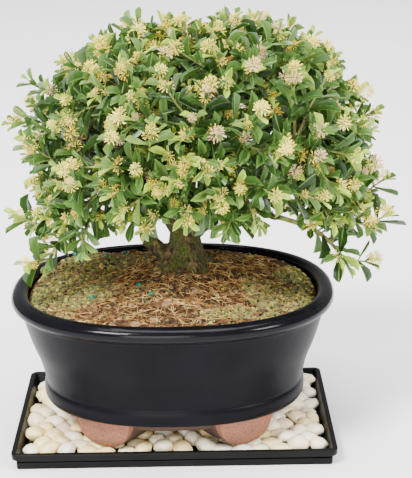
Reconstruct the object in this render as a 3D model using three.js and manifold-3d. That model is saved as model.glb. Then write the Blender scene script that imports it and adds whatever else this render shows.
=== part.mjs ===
// A small flowering boxwood tree in an oval glazed pot, standing on a rectangular tray of pebbles.
// Millimetres, +Z up, +X to the right and +Y away from the front.
// The origin is the middle of the tray's underside.
import * as THREE from "three";
import { mergeVertices } from "three/addons/utils/BufferGeometryUtils.js";
import Module from "manifold-3d";

const wasm = await Module();
wasm.setup();

// Driving dimensions
const GAP = 0.3; // between pieces that touch
const MIDDLE = -1; // the reach of a profile row that closes on the middle axis

const TRAY = { halfLength: 100.6, halfDepth: 67.8, corner: 5, steps: 20, floor: 2 };
// Inset from the rim's edge, and height: base, shadow groove, overhanging rim, sloped inside wall, floor
const TRAY_PROFILE = [
  [MIDDLE, 0], [3.2, 0], [3, 4], [4.6, 4.1], [4.6, 5.5], [0.3, 5.6], [0, 10.6], [0.4, 11],
  [3, 11], [3.4, 10.5], [7, TRAY.floor], [MIDDLE, TRAY.floor],
];

// The room for the pebbles inside the tray, as inset and height
const PEBBLE_ROOM = [
  [MIDDLE, TRAY.floor + GAP], [7.2, TRAY.floor + GAP], [3.8, 10.5], [3.8, 12], [MIDDLE, 12],
];
const PEBBLE = {
  pitch: 14.8, valley: 4.4, lowTop: 8.6, highTop: 10.8, top: 0.55, wander: 1.9, pressedFor: 24,
};

const POT = { depthLoss: 13.8, fullLossFrom: 60, squareness: 2.29, steps: 28, floor: 27, underside: 20 };
// Half-length and height: underside, bare foot ring, glazed wall with its base band, neck, rolled rim
const POT_OUTSIDE = [
  [MIDDLE, POT.underside], [77, POT.underside], [77.4, 27], [81, 27.7], [82.9, 31], [82.7, 38],
  [86, 54], [91, 67], [96.2, 85], [97.6, 88], [102, 91], [102.4, 95], [98.6, 98.4],
];
const POT_INSIDE = [[94.4, 98.2], [92, 95], [91.6, 92], [86, 70], [77, 40], [66, POT.floor]];
const FOOT = {
  angle: 51, halfWidth: 21, height: 19.2, standsAt: 8.5, top: 26, outer: 76.5, inner: 56, draft: 3, sides: 12,
};
const DRAIN = { fromMiddle: 38, radius: 6, sides: 12 };
const SCREEN = { side: 24, thickness: 0.8, hole: 7, holePitch: 9.5 };

const TRUNK = { x: 6.6, y: 18, ground: 104, steps: 10, buriedTo: 90, lean: 0.06, lobe: 0.13 };
// Reach and height of the root flare and the stem up to the fork
const TRUNK_PROFILE = [
  [MIDDLE, TRUNK.buriedTo], [13.5, TRUNK.buriedTo], [15.6, 104], [13, 109], [10.4, 116],
  [9.2, 124], [8.4, 134], [MIDDLE, 136],
];
const SOIL = {
  edge: 92, reach: 91.2, gap: 0.35, mound: 11.6, spread: 88, relief: 1.1, rings: [84, 73, 61, 49, 37, 25],
};

const FORK = vector(8.4, 18, 130);
const CROWN = {
  middle: vector(19, 18, 165), length: 116, depth: 97, height: 112, below: 64, boxiness: 2.5,
};
const CLEARING = { halfWidth: 34, bottom: 178 }; // the crown is kept open before the trunk
const LIMB = {
  count: 6, reach: 32, drop: 7, rise: 23, sag: 5, stagger: 7, knuckle: 5,
  thick: 5.2, thin: 2.8, sides: 5, steps: 2,
};
// The side stem leaves the root flare and joins the left limb, with a hole between it and the trunk
const SIDE_STEM = {
  thick: 5.5, thin: 3.6, sides: 6, steps: 4,
  path: [
    vector(1, 18, 107), vector(-10, 18, 116), vector(-17.5, 18, 126),
    vector(-14.5, 18, 138), vector(-12, 18, 152),
  ],
};
const TWIG = { thick: 2.6, thin: 1.9, stalk: 1.8, inLine: 8, end: 27, between: 0.5, clearance: 4 };
const HANGING_STEM = { thick: 1.9, thin: 1.1, sides: 5, steps: 5, leafEvery: 14 };

// A leafy mass: a small lumpy core near the crown's surface, with pairs of leaves and flower tufts on it
const MASS = {
  count: 22, highest: 1, lowest: -0.27, turn: 0.5, inward: 37, core: 21, inside: 15, lumps: 0.25, apart: 0.4,
};
// Shares of a leaf's length: its thickest place, its widest place and its blunt end
const LEAF = {
  length: 26, width: 13, thickness: 1.5, ridge: 0.35, widest: 0.66, end: 0.96, blunt: 0.42,
  fold: 1.5, bend: 2.5, sunk: 3, rootsApart: 1.6, spreads: [0.7, 1.15],
};
const TUFT = { radius: 7, heart: 3.9, stands: 12, hangs: 7, sunk: 3 };
const SITES = { leafPairs: 8, tufts: 5, widest: 1.25, tries: 12 };
const SHORTEST = 0.03; // the shortest edge that a join may leave
const GOLDEN_TURN = Math.PI * (3 - Math.sqrt(5));
const SEEDS = { pebbles: 11, foliage: 7 };

// The long twigs that hang out of the crown, each from its limb's end to its tip
const HANGING = {
  spray_left_high: [vector(-40, 10, 149), vector(-62, 4, 146), vector(-82, 0, 140), vector(-94, -3, 134)],
  spray_left_low: [vector(-38, 0, 145), vector(-58, -10, 140), vector(-72, -18, 128), vector(-80, -22, 113)],
  spray_right_high: [vector(72, 14, 152), vector(94, 8, 156), vector(115, 4, 155), vector(128, 2, 151)],
  spray_right_middle: [vector(74, 0, 146), vector(97, -6, 144), vector(117, -10, 139), vector(130, -10, 133)],
  spray_right_low: [vector(68, -6, 142), vector(89, -14, 136), vector(104, -20, 123), vector(112, -22, 109)],
  spray_front_left: [vector(-12, -18, 147), vector(-22, -38, 152), vector(-30, -56, 154)],
  spray_front_right: [vector(30, -18, 147), vector(42, -36, 152), vector(50, -54, 153)],
  spray_back: [vector(6, 60, 145), vector(2, 78, 141), vector(-2, 92, 132)],
};

function vector(x, y, z) {
  return new THREE.Vector3(x, y, z);
}

// A repeatable draw between 0 and 1
function seeded(seed) {
  let state = seed;
  return () => {
    state = (state * 16807) % 2147483647;
    return state / 2147483647;
  };
}

// A closed solid from a geometry: shared corners merged, empty faces dropped, faces outwards
function solidOf(geometry) {
  const bare = geometry.index ? geometry.toNonIndexed() : geometry.clone();
  bare.deleteAttribute("normal");
  bare.deleteAttribute("uv");
  const merged = mergeVertices(bare, 1e-4);
  const faces = [];
  for (let i = 0; i < merged.index.count; i += 3) {
    const [a, b, c] = merged.index.array.slice(i, i + 3);
    if (a !== b && b !== c && c !== a) faces.push([a, b, c]);
  }
  const vertProperties = merged.getAttribute("position").array;
  const build = (list) => {
    const triVerts = new Uint32Array(list.flat());
    return new wasm.Manifold(new wasm.Mesh({ numProp: 3, vertProperties, triVerts }));
  };
  const made = build(faces);
  return made.volume() > 0 ? made : build(faces.map(([a, b, c]) => [a, c, b]));
}

function geometryOf(solid) {
  const mesh = solid.getMesh();
  const geometry = new THREE.BufferGeometry();
  geometry.setAttribute("position", new THREE.BufferAttribute(new Float32Array(mesh.vertProperties), 3));
  geometry.setIndex(new THREE.BufferAttribute(new Uint32Array(mesh.triVerts), 1));
  geometry.computeVertexNormals();
  return geometry;
}

// A turned body: each profile row is a reach and a height, and the outline places it at each step round
function turned(profile, steps, outline) {
  const rows = profile.map(([reach, height]) => new THREE.Vector2(reach, height));
  const geometry = new THREE.LatheGeometry(rows, steps);
  const position = geometry.getAttribute("position");
  for (let i = 0; i < position.count; i++) {
    const step = Math.floor(i / profile.length) % steps;
    position.setXYZ(i, ...outline(step, ...profile[i % profile.length]));
  }
  return solidOf(geometry);
}

function box(length, depth, height, x, y, z) {
  return solidOf(new THREE.BoxGeometry(length, depth, height).translate(x, y, z));
}

// A round stem that tapers along a smooth curve
function stem(points, { thick, thin, sides, steps }) {
  const curve = new THREE.CatmullRomCurve3(points);
  const frames = curve.computeFrenetFrames(steps, false);
  const geometry = new THREE.CylinderGeometry(1, 1, 1, sides, steps);
  const position = geometry.getAttribute("position");
  for (let i = 0; i < position.count; i++) {
    const along = 0.5 - position.getY(i);
    const step = Math.round(along * steps);
    const radius = THREE.MathUtils.lerp(thick, thin, along);
    const place = curve.getPointAt(along)
      .addScaledVector(frames.normals[step], radius * position.getZ(i))
      .addScaledVector(frames.binormals[step], radius * position.getX(i));
    position.setXYZ(i, place.x, place.y, place.z);
  }
  return solidOf(geometry);
}

// Tray: a rounded rectangle at every level
function trayOutline(step, inset, height) {
  if (inset === MIDDLE) return [0, 0, height];
  const perCorner = TRAY.steps / 4;
  const corner = Math.floor(step / perCorner);
  const angle = (corner + (step % perCorner) / (perCorner - 1)) * Math.PI / 2;
  const radius = Math.max(TRAY.corner - inset, 1);
  const sideX = corner === 0 || corner === 3 ? 1 : -1;
  const sideY = corner < 2 ? 1 : -1;
  return [
    sideX * (TRAY.halfLength - inset - radius) + radius * Math.cos(angle),
    sideY * (TRAY.halfDepth - inset - radius) + radius * Math.sin(angle),
    height,
  ];
}

// Pot: a squarish oval, less deep than long by the same amount at every level of the wall
function ovalOutline(step, reach, height) {
  if (reach === MIDDLE) return [0, 0, height];
  const angle = (step / POT.steps) * 2 * Math.PI;
  const halfDepth = reach - POT.depthLoss * Math.min(1, reach / POT.fullLossFrom);
  const bow = (value) => Math.sign(value) * Math.abs(value) ** (2 / POT.squareness);
  return [reach * bow(Math.cos(angle)), halfDepth * bow(Math.sin(angle)), height];
}

// Feet: half-round lobes of the foot ring, with a flat to stand on
const footAngles = [FOOT.angle, 180 - FOOT.angle, 180 + FOOT.angle, 360 - FOOT.angle];

function makeFoot(angle) {
  const ring = turned(
    [
      [FOOT.inner, FOOT.standsAt], [FOOT.outer - FOOT.draft, FOOT.standsAt],
      [FOOT.outer, FOOT.top], [FOOT.inner, FOOT.top], [FOOT.inner, FOOT.standsAt],
    ],
    POT.steps,
    ovalOutline,
  );
  const lobe = new THREE.CylinderGeometry(1, 1, 2 * FOOT.outer, FOOT.sides)
    .scale(FOOT.halfWidth, 1, FOOT.height)
    .translate(0, FOOT.outer, 0)
    .rotateZ(THREE.MathUtils.degToRad(angle - 90))
    .translate(0, 0, FOOT.top);
  return ring.intersect(solidOf(lobe));
}

function makePot() {
  let pot = turned([...POT_OUTSIDE, ...POT_INSIDE, [MIDDLE, POT.floor]], POT.steps, ovalOutline);
  for (const angle of footAngles) pot = pot.add(makeFoot(angle));
  for (const side of [-1, 1]) {
    const drain = new THREE.CylinderGeometry(DRAIN.radius, DRAIN.radius, POT.floor, DRAIN.sides)
      .rotateX(Math.PI / 2)
      .translate(side * DRAIN.fromMiddle, 0, POT.floor);
    pot = pot.subtract(solidOf(drain));
  }
  return pot;
}

// A square of stiff mesh over a drain hole
function makeScreen(side) {
  const x = side * DRAIN.fromMiddle;
  const level = POT.floor + GAP + SCREEN.thickness / 2;
  let screen = box(SCREEN.side, SCREEN.side, SCREEN.thickness, x, 0, level);
  const offsets = [-SCREEN.holePitch / 2, SCREEN.holePitch / 2];
  for (const across of offsets) {
    for (const up of offsets) {
      screen = screen.subtract(box(SCREEN.hole, SCREEN.hole, 2 * SCREEN.thickness, x + across, up, level));
    }
  }
  return screen;
}

// Closes an open sheet with a flat underside at a level and a wall round its border
function closedBelow(sheet, level) {
  const merged = mergeVertices(sheet, 1e-3);
  const tops = merged.getAttribute("position");
  const count = tops.count;
  const corner = (i) => [tops.getX(i % count), tops.getY(i % count), i < count ? tops.getZ(i) : level];
  const edges = new Set();
  const faces = [];
  for (let i = 0; i < merged.index.count; i += 3) {
    const [a, b, c] = merged.index.array.slice(i, i + 3);
    faces.push(a, b, c, c + count, b + count, a + count);
    for (const [from, to] of [[a, b], [b, c], [c, a]]) edges.add(from * count + to);
  }
  for (const edge of edges) {
    const from = Math.floor(edge / count);
    const to = edge % count;
    if (!edges.has(to * count + from)) faces.push(to, from, from + count, to, from + count, to + count);
  }
  const geometry = new THREE.BufferGeometry();
  geometry.setAttribute("position", new THREE.Float32BufferAttribute(faces.flatMap(corner), 3));
  return solidOf(geometry);
}

// Pebbles: flat-topped stones side by side on a triangular grid that wanders, cut to the tray's inside
function makePebbles() {
  const random = seeded(SEEDS.pebbles);
  const rowStep = PEBBLE.pitch * Math.sqrt(3) / 2;
  const columns = Math.ceil((2 * TRAY.halfLength) / PEBBLE.pitch) + 3;
  const rows = Math.ceil((2 * TRAY.halfDepth) / rowStep) + 3;
  const feet = footAngles.map((angle) => {
    const [x, y] = ovalOutline((angle / 360) * POT.steps, (FOOT.inner + FOOT.outer) / 2, 0);
    return new THREE.Vector2(x, y);
  });
  const stones = Array.from({ length: rows * columns }, (_, i) => {
    const row = Math.floor(i / columns);
    const x = ((i % columns) - (columns - 1) / 2 + (row % 2) / 2) * PEBBLE.pitch;
    const y = (row - (rows - 1) / 2) * rowStep;
    const wander = () => (random() - 0.5) * 2 * PEBBLE.wander;
    const stone = vector(x + wander(), y + wander(), 0);
    const pressed = feet.some((place) => place.distanceTo(stone) < PEBBLE.pressedFor);
    const top = PEBBLE.lowTop + random() * (PEBBLE.highTop - PEBBLE.lowTop);
    return stone.setZ(pressed ? FOOT.standsAt - GAP : top);
  });
  const corners = [];
  const face = (...points) => points.forEach((point) => corners.push(point.x, point.y, point.z));
  for (let row = 1; row < rows - 1; row++) {
    for (let column = 1; column < columns - 1; column++) {
      const stone = (up, across) => stones[(row + up) * columns + column + across];
      const here = stone(0, 0);
      const shift = row % 2;
      const ring = [
        stone(0, 1), stone(1, shift), stone(1, shift - 1),
        stone(0, -1), stone(-1, shift - 1), stone(-1, shift),
      ];
      const low = ring.map((next, i) => {
        const after = ring[(i + 1) % 6];
        return vector(0, 0, 0).add(here).add(next).add(after).divideScalar(3).setZ(PEBBLE.valley);
      });
      const high = low.map((place) => place.clone().lerp(here, 1 - PEBBLE.top).setZ(here.z));
      for (const i of [0, 2, 4]) {
        const next = (i + 2) % 6;
        face(low[i], low[i + 1], high[i]);
        face(low[i + 1], low[next], high[next]);
        face(low[i + 1], high[next], high[i]);
      }
      face(high[0], high[2], high[4]);
    }
  }
  const sheet = new THREE.BufferGeometry();
  sheet.setAttribute("position", new THREE.Float32BufferAttribute(corners, 3));
  const room = turned(PEBBLE_ROOM, TRAY.steps, trayOutline);
  return closedBelow(sheet, -TRAY.floor).intersect(room);
}

// Soil: highest round the trunk and rough on top, with a plain hole for the trunk and room for each screen
function soilOutline(step, reach, height) {
  const [x, y] = ovalOutline(step, reach, height);
  if (height < SOIL.edge) return [x, y, height];
  const toTrunk = Math.hypot(x - TRUNK.x, y - TRUNK.y);
  const toWall = reach === MIDDLE ? 0 : reach / SOIL.reach;
  const rough = reach === MIDDLE ? 0 : SOIL.relief * Math.sin(step * 5.1 + reach * 1.7);
  const mound = SOIL.mound * Math.max(0, 1 - toTrunk / SOIL.spread);
  return [x, y, height + (mound + rough) * (1 - toWall ** 5)];
}

function makeSoil() {
  const base = [MIDDLE, POT.floor + GAP];
  const inside = POT_INSIDE.slice(2).reverse();
  const wall = inside.map(([reach, height]) => [reach - SOIL.gap, Math.max(height, base[1])]);
  const rings = SOIL.rings.map((reach) => [reach, SOIL.edge]);
  let soil = turned([base, ...wall, ...rings, [MIDDLE, SOIL.edge]], POT.steps, soilOutline);
  const hole = TRUNK_PROFILE.map(([reach, height]) => {
    return [reach === MIDDLE ? MIDDLE : reach + GAP, height === TRUNK.buriedTo ? height - GAP : height];
  });
  soil = soil.subtract(turned(hole, TRUNK.steps, trunkOutline));
  const room = SCREEN.side + 2 * GAP;
  const depth = 2 * (SCREEN.thickness + 2 * GAP);
  for (const side of [-1, 1]) {
    soil = soil.subtract(box(room, room, depth, side * DRAIN.fromMiddle, 0, POT.floor));
  }
  return soil;
}

// Trunk: root ridges at the foot that fade out towards the fork
function trunkOutline(step, reach, height) {
  const x = TRUNK.x + (height - TRUNK.ground) * TRUNK.lean;
  if (reach === MIDDLE) return [x, TRUNK.y, height];
  const angle = (step / TRUNK.steps) * 2 * Math.PI;
  const fade = THREE.MathUtils.clamp((FORK.z - height) / (FORK.z - TRUNK.ground), 0, 1);
  const ridged = reach * (1 + (step % 2 ? -1 : 1) * TRUNK.lobe * fade);
  return [x + ridged * Math.cos(angle), TRUNK.y + ridged * Math.sin(angle), height];
}

// Half the crown's size along a direction: a boxy dome over a shallow underside
function crownReach(direction) {
  const half = [CROWN.length, CROWN.depth, direction.z < 0 ? CROWN.below : CROWN.height];
  const shares = direction.toArray().map((part, i) => Math.abs(part / half[i]) ** CROWN.boxiness);
  return (shares[0] + shares[1] + shares[2]) ** (-1 / CROWN.boxiness);
}

// Limb ends: a ring of them under the crown's middle, and one above it
const limbEnds = Array.from({ length: LIMB.count }, (_, i) => {
  const turn = (i / LIMB.count) * 2 * Math.PI;
  return vector(LIMB.reach * Math.cos(turn), LIMB.reach * Math.sin(turn), -LIMB.drop).add(CROWN.middle);
});
limbEnds.push(CROWN.middle.clone().add(vector(-4, 0, LIMB.rise)));
function nearestLimbEnd(place) {
  return limbEnds.reduce((best, end) => (end.distanceTo(place) < best.distanceTo(place) ? end : best));
}

// Leafy masses: evenly spread directions over the dome, each on a twig from the nearest limb end
const masses = Array.from({ length: MASS.count }, (_, i) => {
  const rise = MASS.highest - ((MASS.highest - MASS.lowest) * (i + 0.5)) / MASS.count;
  const turn = i * GOLDEN_TURN + MASS.turn;
  const flat = Math.sqrt(1 - rise * rise);
  const outward = vector(flat * Math.cos(turn), flat * Math.sin(turn), rise);
  const middle = CROWN.middle.clone().addScaledVector(outward, crownReach(outward) - MASS.inward);
  const beforeTrunk = middle.y < TRUNK.y && Math.abs(middle.x - TRUNK.x) < CLEARING.halfWidth;
  if (beforeTrunk) middle.setZ(Math.max(middle.z, CLEARING.bottom));
  const limbEnd = nearestLimbEnd(middle);
  const back = limbEnd.clone().sub(middle).normalize();
  const twigEnd = middle.clone().addScaledVector(back, TWIG.end);
  return { name: "spray_" + String(i + 1).padStart(2, "0"), outward, middle, limbEnd, back, twigEnd };
});

// Wood: the path of every limb and twig of the trunk, and of the stems that hang from it
const wood = [];
function addWood(owner, points, build) {
  const curve = new THREE.CatmullRomCurve3(points);
  wood.push({ owner, places: curve.getSpacedPoints(Math.ceil(curve.getLength() / TWIG.clearance)) });
  return stem(points, build);
}

function makeTrunk() {
  const pieces = [
    turned(TRUNK_PROFILE, TRUNK.steps, trunkOutline),
    addWood("trunk", SIDE_STEM.path, SIDE_STEM),
  ];
  for (const [i, end] of limbEnds.entries()) {
    const root = FORK.clone().add(vector(0, 0, i % 2 ? -LIMB.stagger : 0));
    const bend = root.clone().lerp(end, 0.5).add(vector(0, 0, -LIMB.sag));
    const knuckle = new THREE.OctahedronGeometry(LIMB.knuckle, 0).translate(...end.toArray());
    pieces.push(addWood("trunk", [root, bend, end], LIMB), solidOf(knuckle));
  }
  for (const { name, limbEnd, twigEnd } of masses) {
    pieces.push(addWood(name, [limbEnd, twigEnd], { ...TWIG, sides: 3, steps: 1 }));
  }
  for (const [name, path] of Object.entries(HANGING)) {
    const inLine = path[0].clone().add(path[0].clone().sub(path[1]).setLength(TWIG.inLine));
    pieces.push(addWood(name, [nearestLimbEnd(path[0]), inLine, path[0]], { ...TWIG, sides: 3, steps: 2 }));
  }
  return pieces.reduce((sum, piece) => sum.add(piece));
}

// The twig of a hanging spray starts clear of the end of its limb
function makeHangingStem(name, path) {
  const start = path[0].clone().add(path[1].clone().sub(path[0]).setLength(TWIG.between));
  return addWood(name, [start, ...path.slice(1)], HANGING_STEM);
}

// The core of a leafy mass: lumpy, on its own side of its neighbours and clear of passing wood
function makeCore(mass, turn) {
  const limits = masses.filter((other) => other !== mass).map((other) => {
    const away = other.middle.clone().sub(mass.middle);
    return { away, far: away.length() / 2 - MASS.apart };
  });
  for (const { owner, places } of wood) {
    if (owner === mass.name) continue;
    for (const place of places) {
      const away = place.clone().sub(mass.middle);
      if (away.length() < 2 * MASS.core) limits.push({ away, far: away.length() - TWIG.clearance });
    }
  }
  const placeCorner = (way) => {
    const lump = Math.abs(Math.sin(9 * way.x + 7 * way.y + 5 * way.z + mass.middle.x));
    let reach = MASS.core * (1 - MASS.lumps * lump);
    if (way.dot(mass.back) > 0.25) reach = Math.min(reach, MASS.inside);
    for (const { away, far } of limits) {
      const towards = way.dot(away) / away.length();
      if (towards > 0) reach = Math.min(reach, Math.max(far, 2) / towards);
    }
    return way.clone().multiplyScalar(reach).add(mass.middle);
  };
  const ball = new THREE.IcosahedronGeometry(1, 0);
  ball.rotateZ(mass.outward.x * 3 + turn).rotateX(mass.outward.y * 3);
  const position = ball.getAttribute("position");
  for (let i = 0; i < position.count; i++) {
    const way = vector(position.getX(i), position.getY(i), position.getZ(i)).normalize();
    position.setXYZ(i, ...placeCorner(way).toArray());
  }
  return ball;
}

// How far a body's surface lies from a place inside it, along a direction
function surfaceDistance(geometry, from, way) {
  const position = geometry.getAttribute("position");
  const ray = new THREE.Ray(from, way);
  const corner = (i) => vector(position.getX(i), position.getY(i), position.getZ(i));
  for (let i = 0; i < position.count; i += 3) {
    const hit = ray.intersectTriangle(corner(i), corner(i + 1), corner(i + 2), false, vector(0, 0, 0));
    if (hit) return hit.distanceTo(from);
  }
  return 0;
}

// A blade: narrow at its root, wide near its blunt end, folded up along its rib and bent down at its tip
function makeLeaf(root, along, up, grown) {
  const across = vector(0, 0, 0).crossVectors(along, up).normalize();
  const face = vector(0, 0, 0).crossVectors(across, along).normalize();
  const length = LEAF.length + grown;
  const half = LEAF.width / 2 + grown;
  const thick = LEAF.thickness / 2 + grown;
  const rows = [
    [[LEAF.ridge * length, 0, thick]],
    [
      [0, 0, 0],
      [LEAF.widest * length, half, LEAF.fold], [LEAF.end * length, LEAF.blunt * half, -LEAF.bend],
      [LEAF.end * length, -LEAF.blunt * half, -LEAF.bend], [LEAF.widest * length, -half, LEAF.fold],
    ],
    [[LEAF.ridge * length, 0, -thick]],
  ];
  const geometry = new THREE.SphereGeometry(1, 5, 2);
  const position = geometry.getAttribute("position");
  for (let i = 0; i < position.count; i++) {
    const row = rows[Math.floor(i / 6)];
    const [far, side, high] = row[(i % 6) % row.length];
    const place = root.clone().addScaledVector(along, far).addScaledVector(across, side);
    position.setXYZ(i, ...place.addScaledVector(face, high).toArray());
  }
  return solidOf(geometry);
}

// A flower tuft: eight spikes round a small heart, one of them long enough to root it
function makeTuft(middle, outward, root, twist, grown) {
  const heart = new THREE.OctahedronGeometry(TUFT.heart + grown, 0).getAttribute("position");
  const rootWay = vector(1, 1, 1).normalize();
  const turn = new THREE.Quaternion().setFromUnitVectors(rootWay, outward.clone().negate());
  turn.premultiply(new THREE.Quaternion().setFromAxisAngle(outward, twist));
  const corners = [];
  for (let i = 0; i < heart.count; i += 3) {
    const ring = [0, 1, 2].map((j) => vector(heart.getX(i + j), heart.getY(i + j), heart.getZ(i + j)));
    const spike = vector(0, 0, 0).add(ring[0]).add(ring[1]).add(ring[2]);
    const roots = Math.min(spike.x, spike.y, spike.z) > 0;
    spike.setLength(TUFT.radius + grown);
    const [a, b, c, tip] = [...ring, spike].map((place) => place.applyQuaternion(turn).add(middle));
    const end = roots ? root : tip;
    for (const corner of [a, b, end, b, c, end, c, a, end]) corners.push(corner.x, corner.y, corner.z);
  }
  const geometry = new THREE.BufferGeometry();
  geometry.setAttribute("position", new THREE.Float32BufferAttribute(corners, 3));
  return solidOf(geometry);
}

// What stands already, so that leaves and tufts are turned or left out where they would cross it
const standing = [];
const bodies = {};
function stand(owner, solid) {
  bodies[owner] = bodies[owner] ? bodies[owner].add(solid) : solid;
  standing.push({ owner, solid, bounds: solid.boundingBox(), carries: bodies[owner] === solid });
}

function shortestEdge(solid) {
  const { vertProperties, triVerts, numProp } = solid.getMesh();
  const corner = (i) => vector(...vertProperties.slice(triVerts[i] * numProp, triVerts[i] * numProp + 3));
  let shortest = Infinity;
  for (let i = 0; i < triVerts.length; i += 3) {
    const [a, b, c] = [corner(i), corner(i + 1), corner(i + 2)];
    shortest = Math.min(shortest, a.distanceTo(b), b.distanceTo(c), c.distanceTo(a));
  }
  return shortest;
}

// Whether a piece crosses none of its own spray's pieces and keeps its gap from all others
function isFree(owner, solid, grown) {
  const bounds = grown.boundingBox();
  const overlaps = (other, k) => bounds.min[k] < other.max[k] && other.min[k] < bounds.max[k];
  const near = (other) => [0, 1, 2].every((k) => overlaps(other, k));
  return !standing.some((other) => {
    if (other.owner === owner && other.carries) return false;
    if (!near(other.bounds)) return false;
    return !(other.owner === owner ? solid : grown).intersect(other.solid).isEmpty();
  });
}

// Joins a leaf or tuft to its spray where it has room and leaves one sound body
function grow(owner, make) {
  const solid = make(0);
  if (!isFree(owner, solid, make(GAP))) return false;
  const joined = bodies[owner].add(solid);
  if (joined.decompose().length > 1 || shortestEdge(joined) < SHORTEST) return false;
  stand(owner, solid);
  return true;
}

// A direction at an angle from an axis, turned round it
function tilted(axis, angle, turn) {
  const other = Math.abs(axis.z) < 0.9 ? vector(0, 0, 1) : vector(1, 0, 0);
  const side = vector(0, 0, 0).crossVectors(axis, other).normalize();
  return axis.clone().applyAxisAngle(side, angle).applyAxisAngle(axis, turn);
}

// Two leaves on opposite sides of a place; true where at least one of them had room
function growPair(owner, place, axis, turn, spread, rootsApart) {
  let grown = false;
  for (const side of [0, Math.PI]) {
    const along = tilted(axis, spread, turn + side);
    const apart = along.clone().addScaledVector(axis, -along.dot(axis)).setLength(rootsApart);
    if (grow(owner, (extra) => makeLeaf(place.clone().add(apart), along, axis, extra))) grown = true;
  }
  return grown;
}

// One pair of leaves or one tuft on a mass, at the first place tried that has room for it
function growMassSite(mass, core, site, random) {
  const tuft = site >= SITES.leafPairs;
  const count = tuft ? SITES.tufts : SITES.leafPairs;
  const step = tuft ? site - SITES.leafPairs + 0.5 : site;
  for (let i = 0; i < SITES.tries; i++) {
    const angle = Math.acos(1 - (SITES.widest * (step + random() * 0.7)) / count);
    const turn = step * GOLDEN_TURN + (tuft ? 2 : 0) + random() * 0.9 + mass.middle.x;
    const way = tilted(mass.outward, angle, turn);
    const surface = surfaceDistance(core, mass.middle, way);
    const place = (stands) => mass.middle.clone().addScaledVector(way, surface + stands);
    if (tuft) {
      const twist = random() * 2;
      const tuftMiddle = place(TUFT.stands);
      if (grow(mass.name, (extra) => makeTuft(tuftMiddle, way, place(-TUFT.sunk), twist, extra))) return;
    } else {
      const spread = LEAF.spreads[site % 2];
      if (growPair(mass.name, place(-LEAF.sunk), way, random() * Math.PI, spread, LEAF.rootsApart)) return;
    }
  }
}

// Pairs of leaves along a hanging twig, each pair crosswise to the last, with a tuft at every second one
function growHangingLeaves(name, path, random) {
  const curve = new THREE.CatmullRomCurve3(path);
  const nodes = Math.round(curve.getLength() / HANGING_STEM.leafEvery);
  for (let node = 1; node <= nodes; node++) {
    const along = Math.min(node / nodes, 0.98);
    const axis = curve.getTangentAt(along);
    const place = curve.getPointAt(along);
    for (let i = 0; i < SITES.tries; i++) {
      const turn = node * Math.PI / 2 + (random() - 0.5) * (1 + i);
      const spread = node === nodes ? 0.45 : 0.8 + random() * 0.3;
      if (growPair(name, place.clone().addScaledVector(axis, -1), axis, turn, spread, 0.3)) break;
    }
    if (node % 2) continue;
    for (let i = 0; i < SITES.tries; i++) {
      const way = tilted(axis, 1.3, random() * 2 * Math.PI);
      const middle = place.clone().addScaledVector(way, TUFT.hangs);
      const twist = random() * 2;
      const root = place.clone().addScaledVector(way, -HANGING_STEM.thin / 2);
      if (grow(name, (extra) => makeTuft(middle, way, root, twist, extra))) break;
    }
  }
}

function makeSprays() {
  const cores = masses.map((mass) => {
    const start = mass.twigEnd.clone().addScaledVector(mass.back, -TWIG.between);
    const stalk = stem([start, mass.middle], { thick: TWIG.stalk, thin: TWIG.stalk, sides: 3, steps: 1 });
    for (let turn = 0; ; turn += 0.1) {
      const core = makeCore(mass, turn);
      const body = solidOf(core).add(stalk);
      if (shortestEdge(body) < SHORTEST) continue;
      stand(mass.name, body);
      return core;
    }
  });
  const random = seeded(SEEDS.foliage);
  for (const [name, path] of Object.entries(HANGING)) growHangingLeaves(name, path, random);
  for (let site = 0; site < SITES.leafPairs + SITES.tufts; site++) {
    const order = (site * 5) % (SITES.leafPairs + SITES.tufts);
    masses.forEach((mass, i) => growMassSite(mass, cores[i], order, random));
  }
}

// The whole object
const bonsai = new THREE.Group();
const finishes = {
  tray: { color: "#3d3a39", roughness: 0.45 },
  pebbles: { color: "#f0e6cc", roughness: 0.8 },
  glaze: { color: "#2a2930", roughness: 0.15 },
  mesh: { color: "#2b2b2b", roughness: 0.6 },
  soil: { color: "#5a3c26", roughness: 0.95 },
  bark: { color: "#6a5f3c", roughness: 0.9 },
  leaf: { color: "#4b8044", roughness: 0.4 },
};

function add(name, solid, finish) {
  const material = new THREE.MeshStandardMaterial({ metalness: 0, ...finishes[finish] });
  const mesh = new THREE.Mesh(geometryOf(solid), material);
  mesh.name = name;
  bonsai.add(mesh);
}

const pot = makePot();
const soil = makeSoil();
const trunk = makeTrunk();
add("tray", turned(TRAY_PROFILE, TRAY.steps, trayOutline), "tray");
add("pebbles", makePebbles(), "pebbles");
add("pot", pot, "glaze");
add("drain_screen_1", makeScreen(-1), "mesh");
add("drain_screen_2", makeScreen(1), "mesh");
add("soil", soil, "soil");
add("trunk", trunk, "bark");
stand("pot", pot);
stand("soil", soil);
stand("trunk", trunk);
for (const [name, path] of Object.entries(HANGING)) stand(name, makeHangingStem(name, path));
makeSprays();
for (const { name } of masses) add(name, bodies[name], "leaf");
for (const name of Object.keys(HANGING)) add(name, bodies[name], "leaf");

export default bonsai;
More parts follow.
